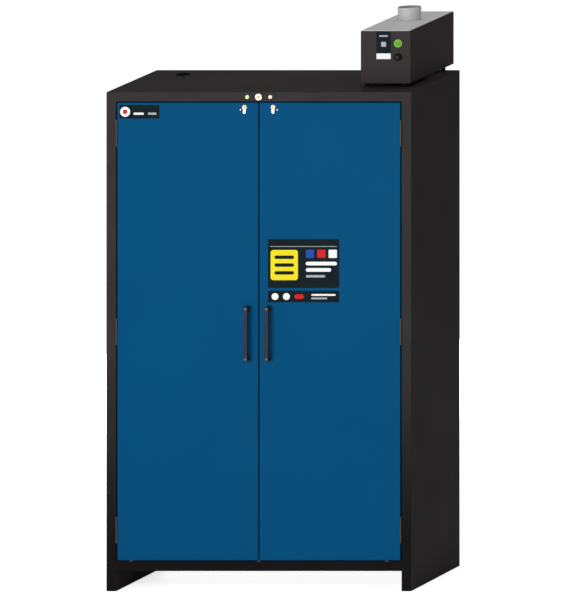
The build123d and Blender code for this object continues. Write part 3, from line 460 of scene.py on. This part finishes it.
def add_turned(mesh: Mesh, profile: list[Pair], place: Matrix, sides: int = TURNED_SIDES) -> None:
    """Adds a turned shape to a mesh.

    Args:
        mesh: the mesh to add to.
        profile: radius and height pairs from one end to the other; a radius of 0 closes that end.
        place: where the shape's own origin and +Z go.
        sides: the number of flat sides round it.
    """
    rings = []
    for radius, height in profile:
        if radius == 0:
            rings.append([mesh.verts.new(place @ Vector((0, 0, height)))])
            continue
        angles = [2 * math.pi * n / sides for n in range(sides)]
        points = [Vector((radius * math.cos(a), radius * math.sin(a), height)) for a in angles]
        rings.append([mesh.verts.new(place @ p) for p in points])
    for low, high in zip(rings, rings[1:]):
        for n in range(sides):
            below = (low[n % len(low)], low[(n + 1) % len(low)])
            above = (high[(n + 1) % len(high)], high[n % len(high)])
            face = mesh.faces.new(list(dict.fromkeys((*below, *above))))
            face.smooth = True


def add_plate(mesh: Mesh, size: Pair, thickness: float, radius: float, place: Matrix) -> None:
    """Adds a flat plate with rounded corners and a softened front edge.

    Args:
        mesh: the mesh to add to.
        size: its width and height.
        thickness: how far it stands out along its own +Z.
        radius: its corner radius.
        place: where the middle of its back goes.
    """
    soft = min(thickness * SOFT_SHARE, radius * SOFT_SHARE)

    def outline(inset: float, height: float) -> list[bmesh.types.BMVert]:
        """One level of the plate's edge."""
        points = []
        corner = radius - inset
        for quarter, (sx, sy) in enumerate(((1, 1), (-1, 1), (-1, -1), (1, -1))):
            centre = Vector((sx * (size[0] / 2 - radius), sy * (size[1] / 2 - radius), height))
            for step in range(CORNER_STEPS + 1):
                angle = math.pi / 2 * (quarter + step / CORNER_STEPS)
                around = Vector((math.cos(angle), math.sin(angle), 0))
                points.append(centre + corner * around)
        return [mesh.verts.new(place @ p) for p in points]

    levels = [outline(0, 0), outline(0, thickness - soft), outline(soft, thickness)]
    for low, high in zip(levels, levels[1:]):
        for n in range(len(low)):
            following = (n + 1) % len(low)
            mesh.faces.new((low[n], low[following], high[following], high[n]))
    mesh.faces.new(levels[-1])
    mesh.faces.new(list(reversed(levels[0])))


@dataclass(frozen=True)
class Ring:
    """A nickel ring that stands on a face that looks forward.

    Attributes:
        inner: radius of its bore.
        outer: radius of its rim.
        height: how far it stands out.
        soft: how far its rim is softened.
    """

    inner: float
    outer: float
    height: float
    soft: float

    def profile(self) -> list[Pair]:
        """Radius and height pairs round its section, from the bore's foot back to it."""
        lip, bevel = self.height * 0.8, self.soft * 0.3
        return [
            (self.inner, 0),
            (self.inner, lip),
            (self.inner + self.soft / 2, self.height),
            (self.outer - self.soft, self.height),
            (self.outer - bevel, self.height - bevel),
            (self.outer, self.height - self.soft),
            (self.outer, 0),
            (self.inner, 0),
        ]

    def build(self, name: str, at: Point, body: str) -> None:
        """Makes the ring, with the middle of its back at a point."""
        mesh = bmesh.new()
        add_turned(mesh, self.profile(), Facing.FRONT.placed(at))
        piece(name, mesh, NICKEL, body)


# ---------------------------------------------------------------- fasteners by geometry nodes
@dataclass(frozen=True)
class FastenerGrid:
    """Equal fastener heads on a grid, made by a Geometry Nodes tree.

    Attributes:
        columns: how many across.
        rows: how many up.
        pitch: the spacing across and up, in metres.
        head_radius: radius of a head.
        head_height: how far a head stands out.
        socket_radius: radius of the drive recess in a head, drawn as a dark disc of painted shade
            just proud of the head, or 0 for a plain rivet.
    """

    columns: int
    rows: int
    pitch: Pair
    head_radius: float
    head_height: float
    socket_radius: float = 0.0

    NUMBERS = ("Column Pitch", "Row Pitch", "Head Radius", "Head Height", "Socket Radius")
    HEAD_SIDES = 24
    HEAD_LIFT = 0.5
    # A drive recess is no hole: it is a dark disc of painted shade, lifted to stand just proud of
    # the head.
    SOCKET_SIDES = 6
    SOCKET_LIFT = 0.52

    @classmethod
    def tree(cls, metal: bpy.types.Material, dark: bpy.types.Material) -> bpy.types.NodeTree:
        """Builds the node tree for a pair of materials, or gives the one already built.

        Args:
            metal: the material of the heads.
            dark: the material of the dark discs that stand for the drive recesses as painted shade.

        Returns:
            The tree, with the grid's sizes as named inputs.
        """
        name = f"fastener_grid_{metal.name}"
        if name in bpy.data.node_groups:
            return bpy.data.node_groups[name]
        tree = bpy.data.node_groups.new(name, "GeometryNodeTree")
        for count in ("Columns", "Rows"):
            tree.interface.new_socket(count, in_out="INPUT", socket_type="NodeSocketInt")
        for number in cls.NUMBERS:
            tree.interface.new_socket(number, in_out="INPUT", socket_type="NodeSocketFloat")
        tree.interface.new_socket("Geometry", in_out="OUTPUT", socket_type="NodeSocketGeometry")
        add, wire = tree.nodes.new, tree.links.new
        given = add("NodeGroupInput").outputs

        def head(radius: str, lift: float, sides: int, material: bpy.types.Material) -> Socket:
            """A short cylinder, its middle lifted by a share of the head's height."""
            body, raised, up, offset = (
                add("GeometryNodeMeshCylinder"),
                add("GeometryNodeTransform"),
                add("ShaderNodeMath"),
                add("ShaderNodeCombineXYZ"),
            )
            up.operation = "MULTIPLY"
            up.inputs[1].default_value = lift
            body.inputs["Vertices"].default_value = sides
            wire(given[radius], body.inputs["Radius"])
            wire(given["Head Height"], body.inputs["Depth"])
            wire(given["Head Height"], up.inputs[0])
            wire(up.outputs[0], offset.inputs["Z"])
            wire(body.outputs["Mesh"], raised.inputs["Geometry"])
            wire(offset.outputs[0], raised.inputs["Translation"])
            paint = add("GeometryNodeSetMaterial")
            paint.inputs["Material"].default_value = material
            wire(raised.outputs[0], paint.inputs["Geometry"])
            return paint.outputs[0]

        joined = add("GeometryNodeJoinGeometry")
        wire(head("Head Radius", cls.HEAD_LIFT, cls.HEAD_SIDES, metal), joined.inputs[0])
        # The drive recess: a dark disc of painted shade on each head.
        wire(head("Socket Radius", cls.SOCKET_LIFT, cls.SOCKET_SIDES, dark), joined.inputs[0])
        grid = add("GeometryNodeMeshGrid")
        for axis, count, spacing in (("X", "Columns", "Column Pitch"), ("Y", "Rows", "Row Pitch")):
            gaps, span = add("ShaderNodeMath"), add("ShaderNodeMath")
            gaps.operation, span.operation = "SUBTRACT", "MULTIPLY"
            gaps.inputs[1].default_value = 1
            wire(given[count], gaps.inputs[0])
            wire(gaps.outputs[0], span.inputs[0])
            wire(given[spacing], span.inputs[1])
            wire(span.outputs[0], grid.inputs[f"Size {axis}"])
            wire(given[count], grid.inputs[f"Vertices {axis}"])
        placed = add("GeometryNodeInstanceOnPoints")
        wire(grid.outputs["Mesh"], placed.inputs["Points"])
        wire(joined.outputs[0], placed.inputs["Instance"])
        real = add("GeometryNodeRealizeInstances")
        wire(placed.outputs[0], real.inputs[0])
        wire(real.outputs[0], add("NodeGroupOutput").inputs[0])
        return tree

    def build(
        self, name: str, at: Point, facing: Facing, finish: Finish, body: str, slot: str
    ) -> None:
        """Makes the fasteners as one plain mesh.

        Args:
            name: the object's name.
            at: the middle of the grid, on the surface.
            facing: which way the heads look.
            finish: the finish of the heads.
            body: the body that they ride on.
            slot: the record's material slot; not used.
        """
        # The black matt material paints the drive recesses' shade.
        tree = self.tree(finish.material(), BLACK_MATT.material())
        carrier = bpy.data.objects.new(f"{name}_carrier", bpy.data.meshes.new(f"{name}_carrier"))
        bpy.context.scene.collection.objects.link(carrier)
        modifier = carrier.modifiers.new("fasteners", "NODES")
        modifier.node_group = tree
        sizes = (*self.pitch, self.head_radius, self.head_height, self.socket_radius)
        values = {"Columns": self.columns, "Rows": self.rows, **dict(zip(self.NUMBERS, sizes))}
        for item in tree.interface.items_tree:
            if item.in_out == "INPUT":
                modifier[item.identifier] = values[item.name]
        bpy.context.view_layer.update()
        evaluated = carrier.evaluated_get(bpy.context.evaluated_depsgraph_get())
        data = bpy.data.meshes.new_from_object(evaluated)
        bpy.data.objects.remove(carrier)
        data.transform(facing.placed(at))
        data.name = name
        obj = bpy.data.objects.new(name, data)
        bpy.context.scene.collection.objects.link(obj)
        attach(obj, body)
        LOG.info("fasteners %s: %d by %d on %s", name, self.columns, self.rows, body)


# ---------------------------------------------------------------- sub-assemblies
@dataclass
class Place:
    """The box of one or more nodes, with short names for its sides."""

    low: Vector
    high: Vector

    @classmethod
    def of(cls, *nodes: str) -> "Place":
        """Gives the box round these nodes."""
        boxes = [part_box(node) for node in nodes]
        low = Vector([min(b[0][axis] for b in boxes) for axis in range(3)])
        high = Vector([max(b[1][axis] for b in boxes) for axis in range(3)])
        return cls(low, high)

    @property
    def middle(self) -> Vector:
        """The middle of the box."""
        return (self.low + self.high) / 2

    @property
    def size(self) -> Vector:
        """The box's size along each axis."""
        return self.high - self.low


@dataclass(frozen=True)
class Mark:
    """One plain coloured field on a plate.

    Attributes:
        across: its middle's distance from the plate's middle, as a share of the plate's width.
        up: the same upwards, as a share of the plate's height.
        width: its width, as a share of the plate's height.
        height: its height, as a share of the plate's height.
        finish: its finish.
        rounded: whether its ends are fully round.
        layer: 1 on the plate, 2 on another mark.
    """

    across: float
    up: float
    width: float
    height: float
    finish: Finish
    rounded: bool = False
    layer: int = 1

    ROUND_SHARE = 0.98
    SQUARE_SHARE = 0.2

    @property
    def corner_share(self) -> float:
        """Its corner radius, as a share of half its shorter side."""
        return self.ROUND_SHARE if self.rounded else self.SQUARE_SHARE


TOP_PLATE_MARKS = (
    Mark(-0.36, 0.0, 0.74, 0.74, PLATE_WHITE, rounded=True),
    Mark(-0.36, 0.0, 0.3, 0.3, PLATE_RED, layer=2),
    Mark(-0.02, -0.14, 0.74, 0.16, PLATE_WHITE),
    Mark(0.32, -0.14, 0.62, 0.16, PLATE_GREY),
)
SIGN_MARKS = (
    Mark(0.0, 0.35, 1.36, 0.012, PLATE_GREY),
    Mark(-0.27, -0.03, 0.56, 0.62, PLATE_YELLOW),
    *(Mark(-0.27, up, 0.4, 0.07, PLATE_DARK, rounded=True, layer=2) for up in (-0.19, -0.03, 0.13)),
    Mark(0.09, 0.2, 0.17, 0.17, PLATE_BLUE),
    Mark(0.25, 0.2, 0.17, 0.17, PLATE_RED),
    Mark(0.41, 0.2, 0.17, 0.17, PLATE_WHITE),
    Mark(0.25, 0.0, 0.64, 0.075, PLATE_WHITE, rounded=True),
    Mark(0.21, -0.13, 0.52, 0.075, PLATE_WHITE, rounded=True),
    Mark(0.17, -0.26, 0.4, 0.05, PLATE_GREY, rounded=True),
)
STRIP_MARKS = (
    *(Mark(across, 0.0, 0.6, 0.6, PLATE_WHITE, rounded=True) for across in (-0.4, -0.24)),
    Mark(-0.06, 0.0, 0.84, 0.4, PLATE_RED, rounded=True),
    Mark(0.28, 0.14, 2.1, 0.16, PLATE_WHITE, rounded=True),
    Mark(0.22, -0.16, 1.4, 0.16, PLATE_GREY, rounded=True),
)


@dataclass
class Doors:
    """Plates, lock rings and indicators on the two doors.

    Attributes:
        lock_ring: the thin escutcheon round a lock's plug.
        indicator: radius and height of the round indicator beside a lock.
        indicator_offset: how far it stands outward of the lock's middle, and below it.
        top_plate: width and height of the plate at the top of the left door.
        top_plate_inset: its distance from that door's left and top edges.
        sign: width and height of the sign on the right door.
        sign_from_centre: its left edge's distance from the middle of the cabinet.
        sign_top: the height of its top edge.
        sign_corner: its corner radius.
        strip: width and height of the strip under the sign.
        strip_gap: the gap between them.
        plate_corner: corner radius of the top plate and the strip.
        film: the thickness of each layer of a plate.
        lift: the gap between a door's face and the back of a plate.
    """

    lock_ring: Ring = Ring(6.3 * MM, 7.9 * MM, 0.5 * MM, 0.25 * MM)
    indicator: Pair = (3.2 * MM, 1.2 * MM)
    indicator_offset: Pair = (16 * MM, 2 * MM)
    top_plate: Pair = (156 * MM, 53 * MM)
    top_plate_inset: float = 9 * MM
    sign: Pair = (279 * MM, 191 * MM)
    sign_from_centre: float = 36 * MM
    sign_top: float = 1378 * MM
    sign_corner: float = 4 * MM
    strip: Pair = (279 * MM, 45 * MM)
    strip_gap: float = 11 * MM
    plate_corner: float = 3 * MM
    film: float = 0.6 * MM
    lift: float = 0.05 * MM

    def build(self) -> None:
        """Builds everything on both doors."""
        for side, outward in (("left", -1), ("right", 1)):
            self.lock_trim(side)
            self.lock_indicator(side, outward)
        self.top_plate_set()
        self.sign_set()

    def face_y(self) -> float:
        """The plane of the door faces."""
        return Place.of("door_skin_left").low.y

    def film_piece(
        self, name: str, size: Pair, at: Pair, layer: int, radius: float, finish: Finish, side: str
    ) -> None:
        """Lays one flat film on a door.

        Args:
            name: the piece's name.
            size: its width and height.
            at: the X and Z of its middle.
            layer: 0 for the backing, 1 for what lies on it, and so on.
            radius: its corner radius.
            finish: its finish.
            side: the door's side.
        """
        mesh = bmesh.new()
        y = self.face_y() - self.lift - layer * self.film
        add_plate(mesh, size, self.film, radius, Facing.FRONT.placed((at[0], y, at[1])))
        piece(name, mesh, finish, f"{side}_door")

    def lock_trim(self, side: str) -> None:
        """A thin escutcheon round the lock's plug."""
        plug = Place.of(f"lock_plug_{side}")
        cylinder = Place.of(f"lock_cylinder_{side}")
        at = (cylinder.middle.x, cylinder.low.y, plug.middle.z)
        self.lock_ring.build(f"lock_ring_{side}", at, f"{side}_door")

    def lock_indicator(self, side: str, outward: int) -> None:
        """The small domed indicator beside the lock.

        Args:
            side: the door's side.
            outward: -1 where away from the middle is to the left, 1 where it is to the right.
        """
        lock = Place.of(f"lock_cylinder_{side}").middle
        across, below = self.indicator_offset
        at = (lock.x + outward * across, self.face_y(), lock.z - below)
        r, h = self.indicator
        mesh = bmesh.new()
        profile = [(0, h), (r * 0.5, h * 0.95), (r * 0.85, h * 0.7), (r, h * 0.2), (r, 0)]
        add_turned(mesh, profile, Facing.FRONT.placed(at), SMALL_SIDES)
        piece(f"lock_indicator_{side}", mesh, ZINC, f"{side}_door")

    def motif(self, name: str, at: Pair, plate: Pair, marks: tuple[Mark, ...], side: str) -> None:
        """Lays a plate's plain marks on it.

        Args:
            name: the plate's name.
            at: the X and Z of its middle.
            plate: its width and height.
            marks: what lies on it.
            side: the door's side.
        """
        (x, z), (width, height) = at, plate
        for number, mark in enumerate(marks, 1):
            size = (mark.width * height, mark.height * height)
            middle = (x + mark.across * width, z + mark.up * height)
            radius = min(size) / 2 * mark.corner_share
            title = f"{name}_mark_{number}"
            self.film_piece(title, size, middle, mark.layer, radius, mark.finish, side)

    def top_plate_set(self) -> None:
        """The dark plate at the top of the left door: a disc with a small square, and two bars."""
        skin = Place.of("door_skin_left")
        width, height = self.top_plate
        inset = self.top_plate_inset
        at = (skin.low.x + inset + width / 2, skin.high.z - inset - height / 2)
        corner = self.plate_corner
        self.film_piece("top_plate", self.top_plate, at, 0, corner, PLATE_DARK, "left")
        self.motif("top_plate", at, self.top_plate, TOP_PLATE_MARKS, "left")

    def sign_set(self) -> None:
        """The dark sign and the strip under it on the right door, with plain coloured fields."""
        width, height = self.sign
        x = self.sign_from_centre + width / 2
        at = (x, self.sign_top - height / 2)
        self.film_piece("sign_back", self.sign, at, 0, self.sign_corner, PLATE_DARK, "right")
        self.motif("sign", at, self.sign, SIGN_MARKS, "right")
        at = (x, self.sign_top - height - self.strip_gap - self.strip[1] / 2)
        self.film_piece("strip_back", self.strip, at, 0, self.plate_corner, PLATE_DARK, "right")
        self.motif("strip", at, self.strip, STRIP_MARKS, "right")


@dataclass
class Lintel:
    """Rings of the key switch and the lamps over the doors.

    Attributes:
        lamp_ring: the ring round a lamp, on the lintel.
        switch_ring: the ring on the key switch's face.
    """

    lamp_ring: Ring = Ring(6.2 * MM, 8.0 * MM, 1.8 * MM, 0.5 * MM)
    switch_ring: Ring = Ring(6.4 * MM, 9.4 * MM, 0.9 * MM, 0.3 * MM)

    def build(self) -> None:
        """Builds the rings round the lamps and on the key switch."""
        face = Place.of("lintel").low.y
        for lamp in ("green_lamp", "amber_lamp"):
            middle = Place.of(lamp).middle
            self.lamp_ring.build(f"{lamp}_ring", (middle.x, face, middle.z), "cabinet")
        switch = Place.of("key_switch_body")
        at = (switch.middle.x, switch.low.y, switch.middle.z)
        self.switch_ring.build("key_switch_ring", at, "cabinet")


@dataclass
class Casing:
    """Rivets and pads on the cabinet's own sheets.

    Attributes:
        rivet_radius: radius of a rivet's head.
        rivet_height: how far the head stands out.
        rivet_rows: how many rivets one over the other at each edge of the back.
        rivet_spacing: the height from one rivet to the next.
        rivet_inset: their distance from the back's edge.
        pad: width, depth and height of a pad.
        pad_corner: its corner radius.
        pad_setback: its distance behind the sill's front.
        pad_from_edge: the outer pads' distance from the sill's ends.
    """

    rivet_radius: float = 3.2 * MM
    rivet_height: float = 1.0 * MM
    rivet_rows: int = 9
    rivet_spacing: float = 220 * MM
    rivet_inset: float = 12 * MM
    pad: tuple[float, float, float] = (14 * MM, 8 * MM, 3.2 * MM)
    pad_corner: float = 1 * MM
    pad_setback: float = 1 * MM
    pad_from_edge: float = 58 * MM

    def build(self) -> None:
        """Builds the back's rivets and the small pads on the sill."""
        self.rivets()
        self.pads()

    def rivets(self) -> None:
        """A column of rivets down each edge of the back."""
        back = Place.of("back_panel")
        pitch = (back.size.x - 2 * self.rivet_inset, self.rivet_spacing)
        rivets = FastenerGrid(2, self.rivet_rows, pitch, self.rivet_radius, self.rivet_height)
        at = (back.middle.x, back.high.y - self.rivet_height, back.middle.z)
        rivets.build("back_rivets", at, Facing.BACK, HINGE, "cabinet", "carcass_paint")

    def pads(self) -> None:
        """Three small pads on top of the sill, in the gap under the doors."""
        sill = Place.of("sill")
        width, depth, height = self.pad
        y = sill.low.y + depth / 2 + self.pad_setback
        mesh = bmesh.new()
        for x in (sill.low.x + self.pad_from_edge, 0.0, sill.high.x - self.pad_from_edge):
            place = Facing.UP.placed((x, y, sill.high.z))
            add_plate(mesh, (width, depth), height, self.pad_corner, place)
        piece("sill_pads", mesh, PAD, "cabinet")


@dataclass
class FanUnit:
    """Label, screws, bead and gland of the fan unit on the roof.

    Attributes:
        label: width and height of the label on its front.
        label_offset: the label's distance from the left edge and from the top.
        label_corner: its corner radius.
        band: height of the label's light lower band.
        film: the thickness of each layer of the label.
        screw_radius: radius of a cover screw's head.
        screw_height: how far the head stands out.
        screw_inset: the screws' distance from the cover's edges.
        bead: the radius at which the spigot's bead sits, and how far it stands out.
        bead_below_top: its distance below the spigot's rim.
        gland_radius: radius of the cable gland.
        gland_offset: its distance in from the unit's side, and behind the feet.
        casing: the box of the unit, found when it is built.
    """

    label: Pair = (57 * MM, 108 * MM)
    label_offset: Pair = (61.5 * MM, 4 * MM)
    label_corner: float = 2 * MM
    band: float = 22 * MM
    film: float = 0.5 * MM
    screw_radius: float = 3.4 * MM
    screw_height: float = 1.6 * MM
    screw_inset: float = 12 * MM
    bead: Pair = (44 * MM, 1.6 * MM)
    bead_below_top: float = 9 * MM
    gland_radius: float = 7 * MM
    gland_offset: Pair = (24 * MM, 14 * MM)
    casing: Place = field(init=False)

    def build(self) -> None:
        """Builds everything on the fan unit."""
        self.casing = Place.of("unit_casing", "unit_cover")
        self.label_set()
        self.cover_screws()
        self.spigot_bead()
        self.gland()

    def label_set(self) -> None:
        """The dark label on the unit's front, with two small marks and a light lower band."""
        width, height = self.label
        from_left, below_top = self.label_offset
        x = self.casing.low.x + from_left + width / 2
        z = self.casing.high.z - below_top - height / 2
        band, band_z = (width - 2 * self.film, self.band), z - height / 2 + self.band * 0.52
        bar, bar_z = (width * 0.6, 6 * MM), z + height * 0.34
        tile, tile_z = (19 * MM, 19 * MM), z + height * 0.04
        for name, size, middle_z, layer, finish in (
            ("unit_label", self.label, z, 0, PLATE_DARK),
            ("unit_label_band", band, band_z, 1, PLATE_WHITE),
            ("unit_label_bar", bar, bar_z, 1, PLATE_GREY),
            ("unit_label_tile", tile, tile_z, 1, PLATE_GREY),
        ):
            mesh = bmesh.new()
            place = Facing.FRONT.placed((x, self.casing.low.y - layer * self.film, middle_z))
            add_plate(mesh, size, self.film, self.label_corner, place)
            piece(name, mesh, finish, "cabinet")

    def cover_screws(self) -> None:
        """The screws that hold the cover down, three along each side."""
        across, along = (self.casing.size[axis] - 2 * self.screw_inset for axis in (0, 1))
        # The third size is the dark disc painted on each head as its recess shade.
        head = (self.screw_radius, self.screw_height, self.screw_radius * 0.45)
        screws = FastenerGrid(2, 3, (across, along / 2), *head)
        at = (self.casing.middle.x, self.casing.middle.y, self.casing.high.z)
        screws.build("unit_cover_screws", at, Facing.UP, ZINC, "cabinet", "screw_steel")

    def spigot_bead(self) -> None:
        """The rolled bead near the spigot's top edge."""
        spigot = Place.of("unit_spigot")
        radius, rise = self.bead
        steps = 8
        angles = [math.pi * step / steps for step in range(steps + 1)]
        arc = [(radius + rise * math.sin(a), rise * math.cos(a)) for a in angles]
        at = (spigot.middle.x, spigot.middle.y, spigot.high.z - self.bead_below_top)
        profile = [(radius, -rise), *reversed(arc)]
        mesh = bmesh.new()
        add_turned(mesh, profile, Matrix.Translation(at), SMOOTH_SIDES)
        piece("spigot_bead", mesh, SPIGOT, "cabinet")

    def gland(self) -> None:
        """The small bright cable gland low on the unit's side, near its back foot."""
        feet = Place.of("unit_feet")
        inset, behind = self.gland_offset
        at = (self.casing.high.x - inset, feet.high.y + behind, self.casing.low.z)
        r = self.gland_radius
        tip, shoulder, flange = 9 * MM, 6 * MM, 3 * MM
        profile = [
            (0, tip),
            (r * 0.45, tip),
            (r * 0.55, tip - 1 * MM),
            (r * 0.8, shoulder),
            (r * 0.8, flange),
            (r, flange),
            (r, 0),
        ]
        mesh = bmesh.new()
        add_turned(mesh, profile, Facing.DOWN.placed(at), SMALL_SIDES)
        piece("unit_gland", mesh, ZINC, "cabinet")


# ---------------------------------------------------------------- studio
@dataclass(frozen=True)
class SoftBox:
    """One square area light.

    Attributes:
        name: its name.
        place: where it stands.
        power: its power in watts.
        size: the length of its side.
    """

    name: str
    place: Point
    power: float
    size: float


@dataclass
class Studio:
    """Floor, lights and the long-lens camera that sees the front square on and the side aslant.

    Attributes:
        aim: the X and Z that the camera looks at on the doors' plane.
        view: the direction that it looks along, before it is made a unit long.
        frame_height: how many metres of the doors' plane the picture is high.
        distance: how far it stands from that plane.
        sensor: its sensor's width in millimetres.
        clip: the nearest and farthest that it sees.
        backdrop: the world's strength as the camera sees it.
        surround: the world's strength as a light.
        floor_half: half the floor's side.
        light_aim: the point that every light looks at.
        lamps: the lights.
    """

    aim: Pair = (0.0988, 1.1398)
    view: Point = (-0.1945, 0.615, -0.0928)
    frame_height: float = 2.348
    distance: float = 90.0
    sensor: float = 36.0
    clip: Pair = (1.0, 200.0)
    backdrop: float = 1.0
    surround: float = 0.3
    floor_half: float = 40.0
    light_aim: Point = (0, 0, 1.1)
    lamps: tuple[SoftBox, ...] = (
        SoftBox("key", (-0.9, -6.5, 2.0), 250.0, 3.0),
        SoftBox("fill", (1.6, -6.0, 1.2), 30.0, 3.0),
        SoftBox("top", (0.4, 0.4, 4.6), 16.0, 2.5),
        SoftBox("rear", (-1.8, 6.0, 0.95), 200.0, 1.6),
    )

    def build(self) -> None:
        """Builds the floor, the lights and the camera."""
        self.floor()
        self.world()
        self.lights()
        self.camera()

    def floor(self) -> None:
        """A wide pale floor."""
        mesh = bmesh.new()
        half = self.floor_half
        corners = [(-half, -half, 0), (half, -half, 0), (half, half, 0), (-half, half, 0)]
        mesh.faces.new([mesh.verts.new(c) for c in corners])
        data = bpy.data.meshes.new("studio_floor")
        mesh.to_mesh(data)
        mesh.free()
        obj = bpy.data.objects.new("studio_floor", data)
        bpy.context.scene.collection.objects.link(obj)
        FLOOR.dress(obj)
        self.seen_only(FLOOR.material())

    def seen_only(self, material: bpy.types.Material) -> None:
        """Keeps a material's own light for the camera, so that it lights nothing else."""
        nodes, links = material.node_tree.nodes, material.node_tree.links
        path, product = nodes.new("ShaderNodeLightPath"), nodes.new("ShaderNodeMath")
        strength = nodes["Principled BSDF"].inputs["Emission Strength"]
        product.operation = "MULTIPLY"
        product.inputs[1].default_value = strength.default_value
        links.new(path.outputs["Is Camera Ray"], product.inputs[0])
        links.new(product.outputs[0], strength)

    def world(self) -> None:
        """A surrounding that is white to the camera and dimmer as a light."""
        world = bpy.data.worlds.new("studio_world")
        world.use_nodes = True
        nodes, links = world.node_tree.nodes, world.node_tree.links
        seen, around = nodes["Background"], nodes.new("ShaderNodeBackground")
        mix, path = nodes.new("ShaderNodeMixShader"), nodes.new("ShaderNodeLightPath")
        for background, strength in ((seen, self.backdrop), (around, self.surround)):
            background.inputs["Color"].default_value = (1, 1, 1, 1)
            background.inputs["Strength"].default_value = strength
        links.new(path.outputs["Is Camera Ray"], mix.inputs[0])
        links.new(around.outputs[0], mix.inputs[1])
        links.new(seen.outputs[0], mix.inputs[2])
        links.new(mix.outputs[0], nodes["World Output"].inputs[0])
        bpy.context.scene.world = world

    def lights(self) -> None:
        """The soft boxes, each turned to the aim point, and a plain view transform."""
        for box in self.lamps:
            light = bpy.data.lights.new(box.name, "AREA")
            light.energy = box.power
            light.size = box.size
            lamp = bpy.data.objects.new(box.name, light)
            lamp.location = box.place
            aim = Vector(self.light_aim) - Vector(box.place)
            lamp.rotation_euler = aim.to_track_quat("-Z", "Y").to_euler()
            bpy.context.scene.collection.objects.link(lamp)
        bpy.context.scene.view_settings.view_transform = "Standard"

    def camera(self) -> None:
        """A very long lens, sheared so that the front stays square on."""
        data = bpy.data.cameras.new("camera")
        data.sensor_width = self.sensor
        data.clip_start, data.clip_end = self.clip
        direction = Vector(self.view).normalized()
        reach = self.distance / direction.y
        data.lens = self.sensor * reach / self.frame_height
        front = Place.of("door_skin_left").low.y
        aim = Vector((self.aim[0], front, self.aim[1]))
        where = aim - direction * reach
        camera = bpy.data.objects.new("camera", data)
        bpy.context.scene.collection.objects.link(camera)
        stand = bpy.data.objects.new("camera_stand", None)
        bpy.context.scene.collection.objects.link(stand)
        camera.parent = stand
        shear = Matrix.Identity(4)
        for column, axis in enumerate((Vector((1, 0, 0)), Vector((0, 0, 1)), -direction)):
            for row in range(3):
                shear[row][column] = axis[row]
        camera.matrix_parent_inverse = Matrix.Translation(where) @ shear
        bpy.context.scene.camera = camera


def main() -> None:
    """Builds every class in order."""
    logging.basicConfig(level=logging.INFO, format="%(name)s %(message)s")
    dress_frame()
    for assembly in (Casing(), Doors(), Lintel(), FanUnit(), Studio()):
        assembly.build()
        LOG.info("built %s", type(assembly).__name__)


if __name__ == "__main__":
    main()
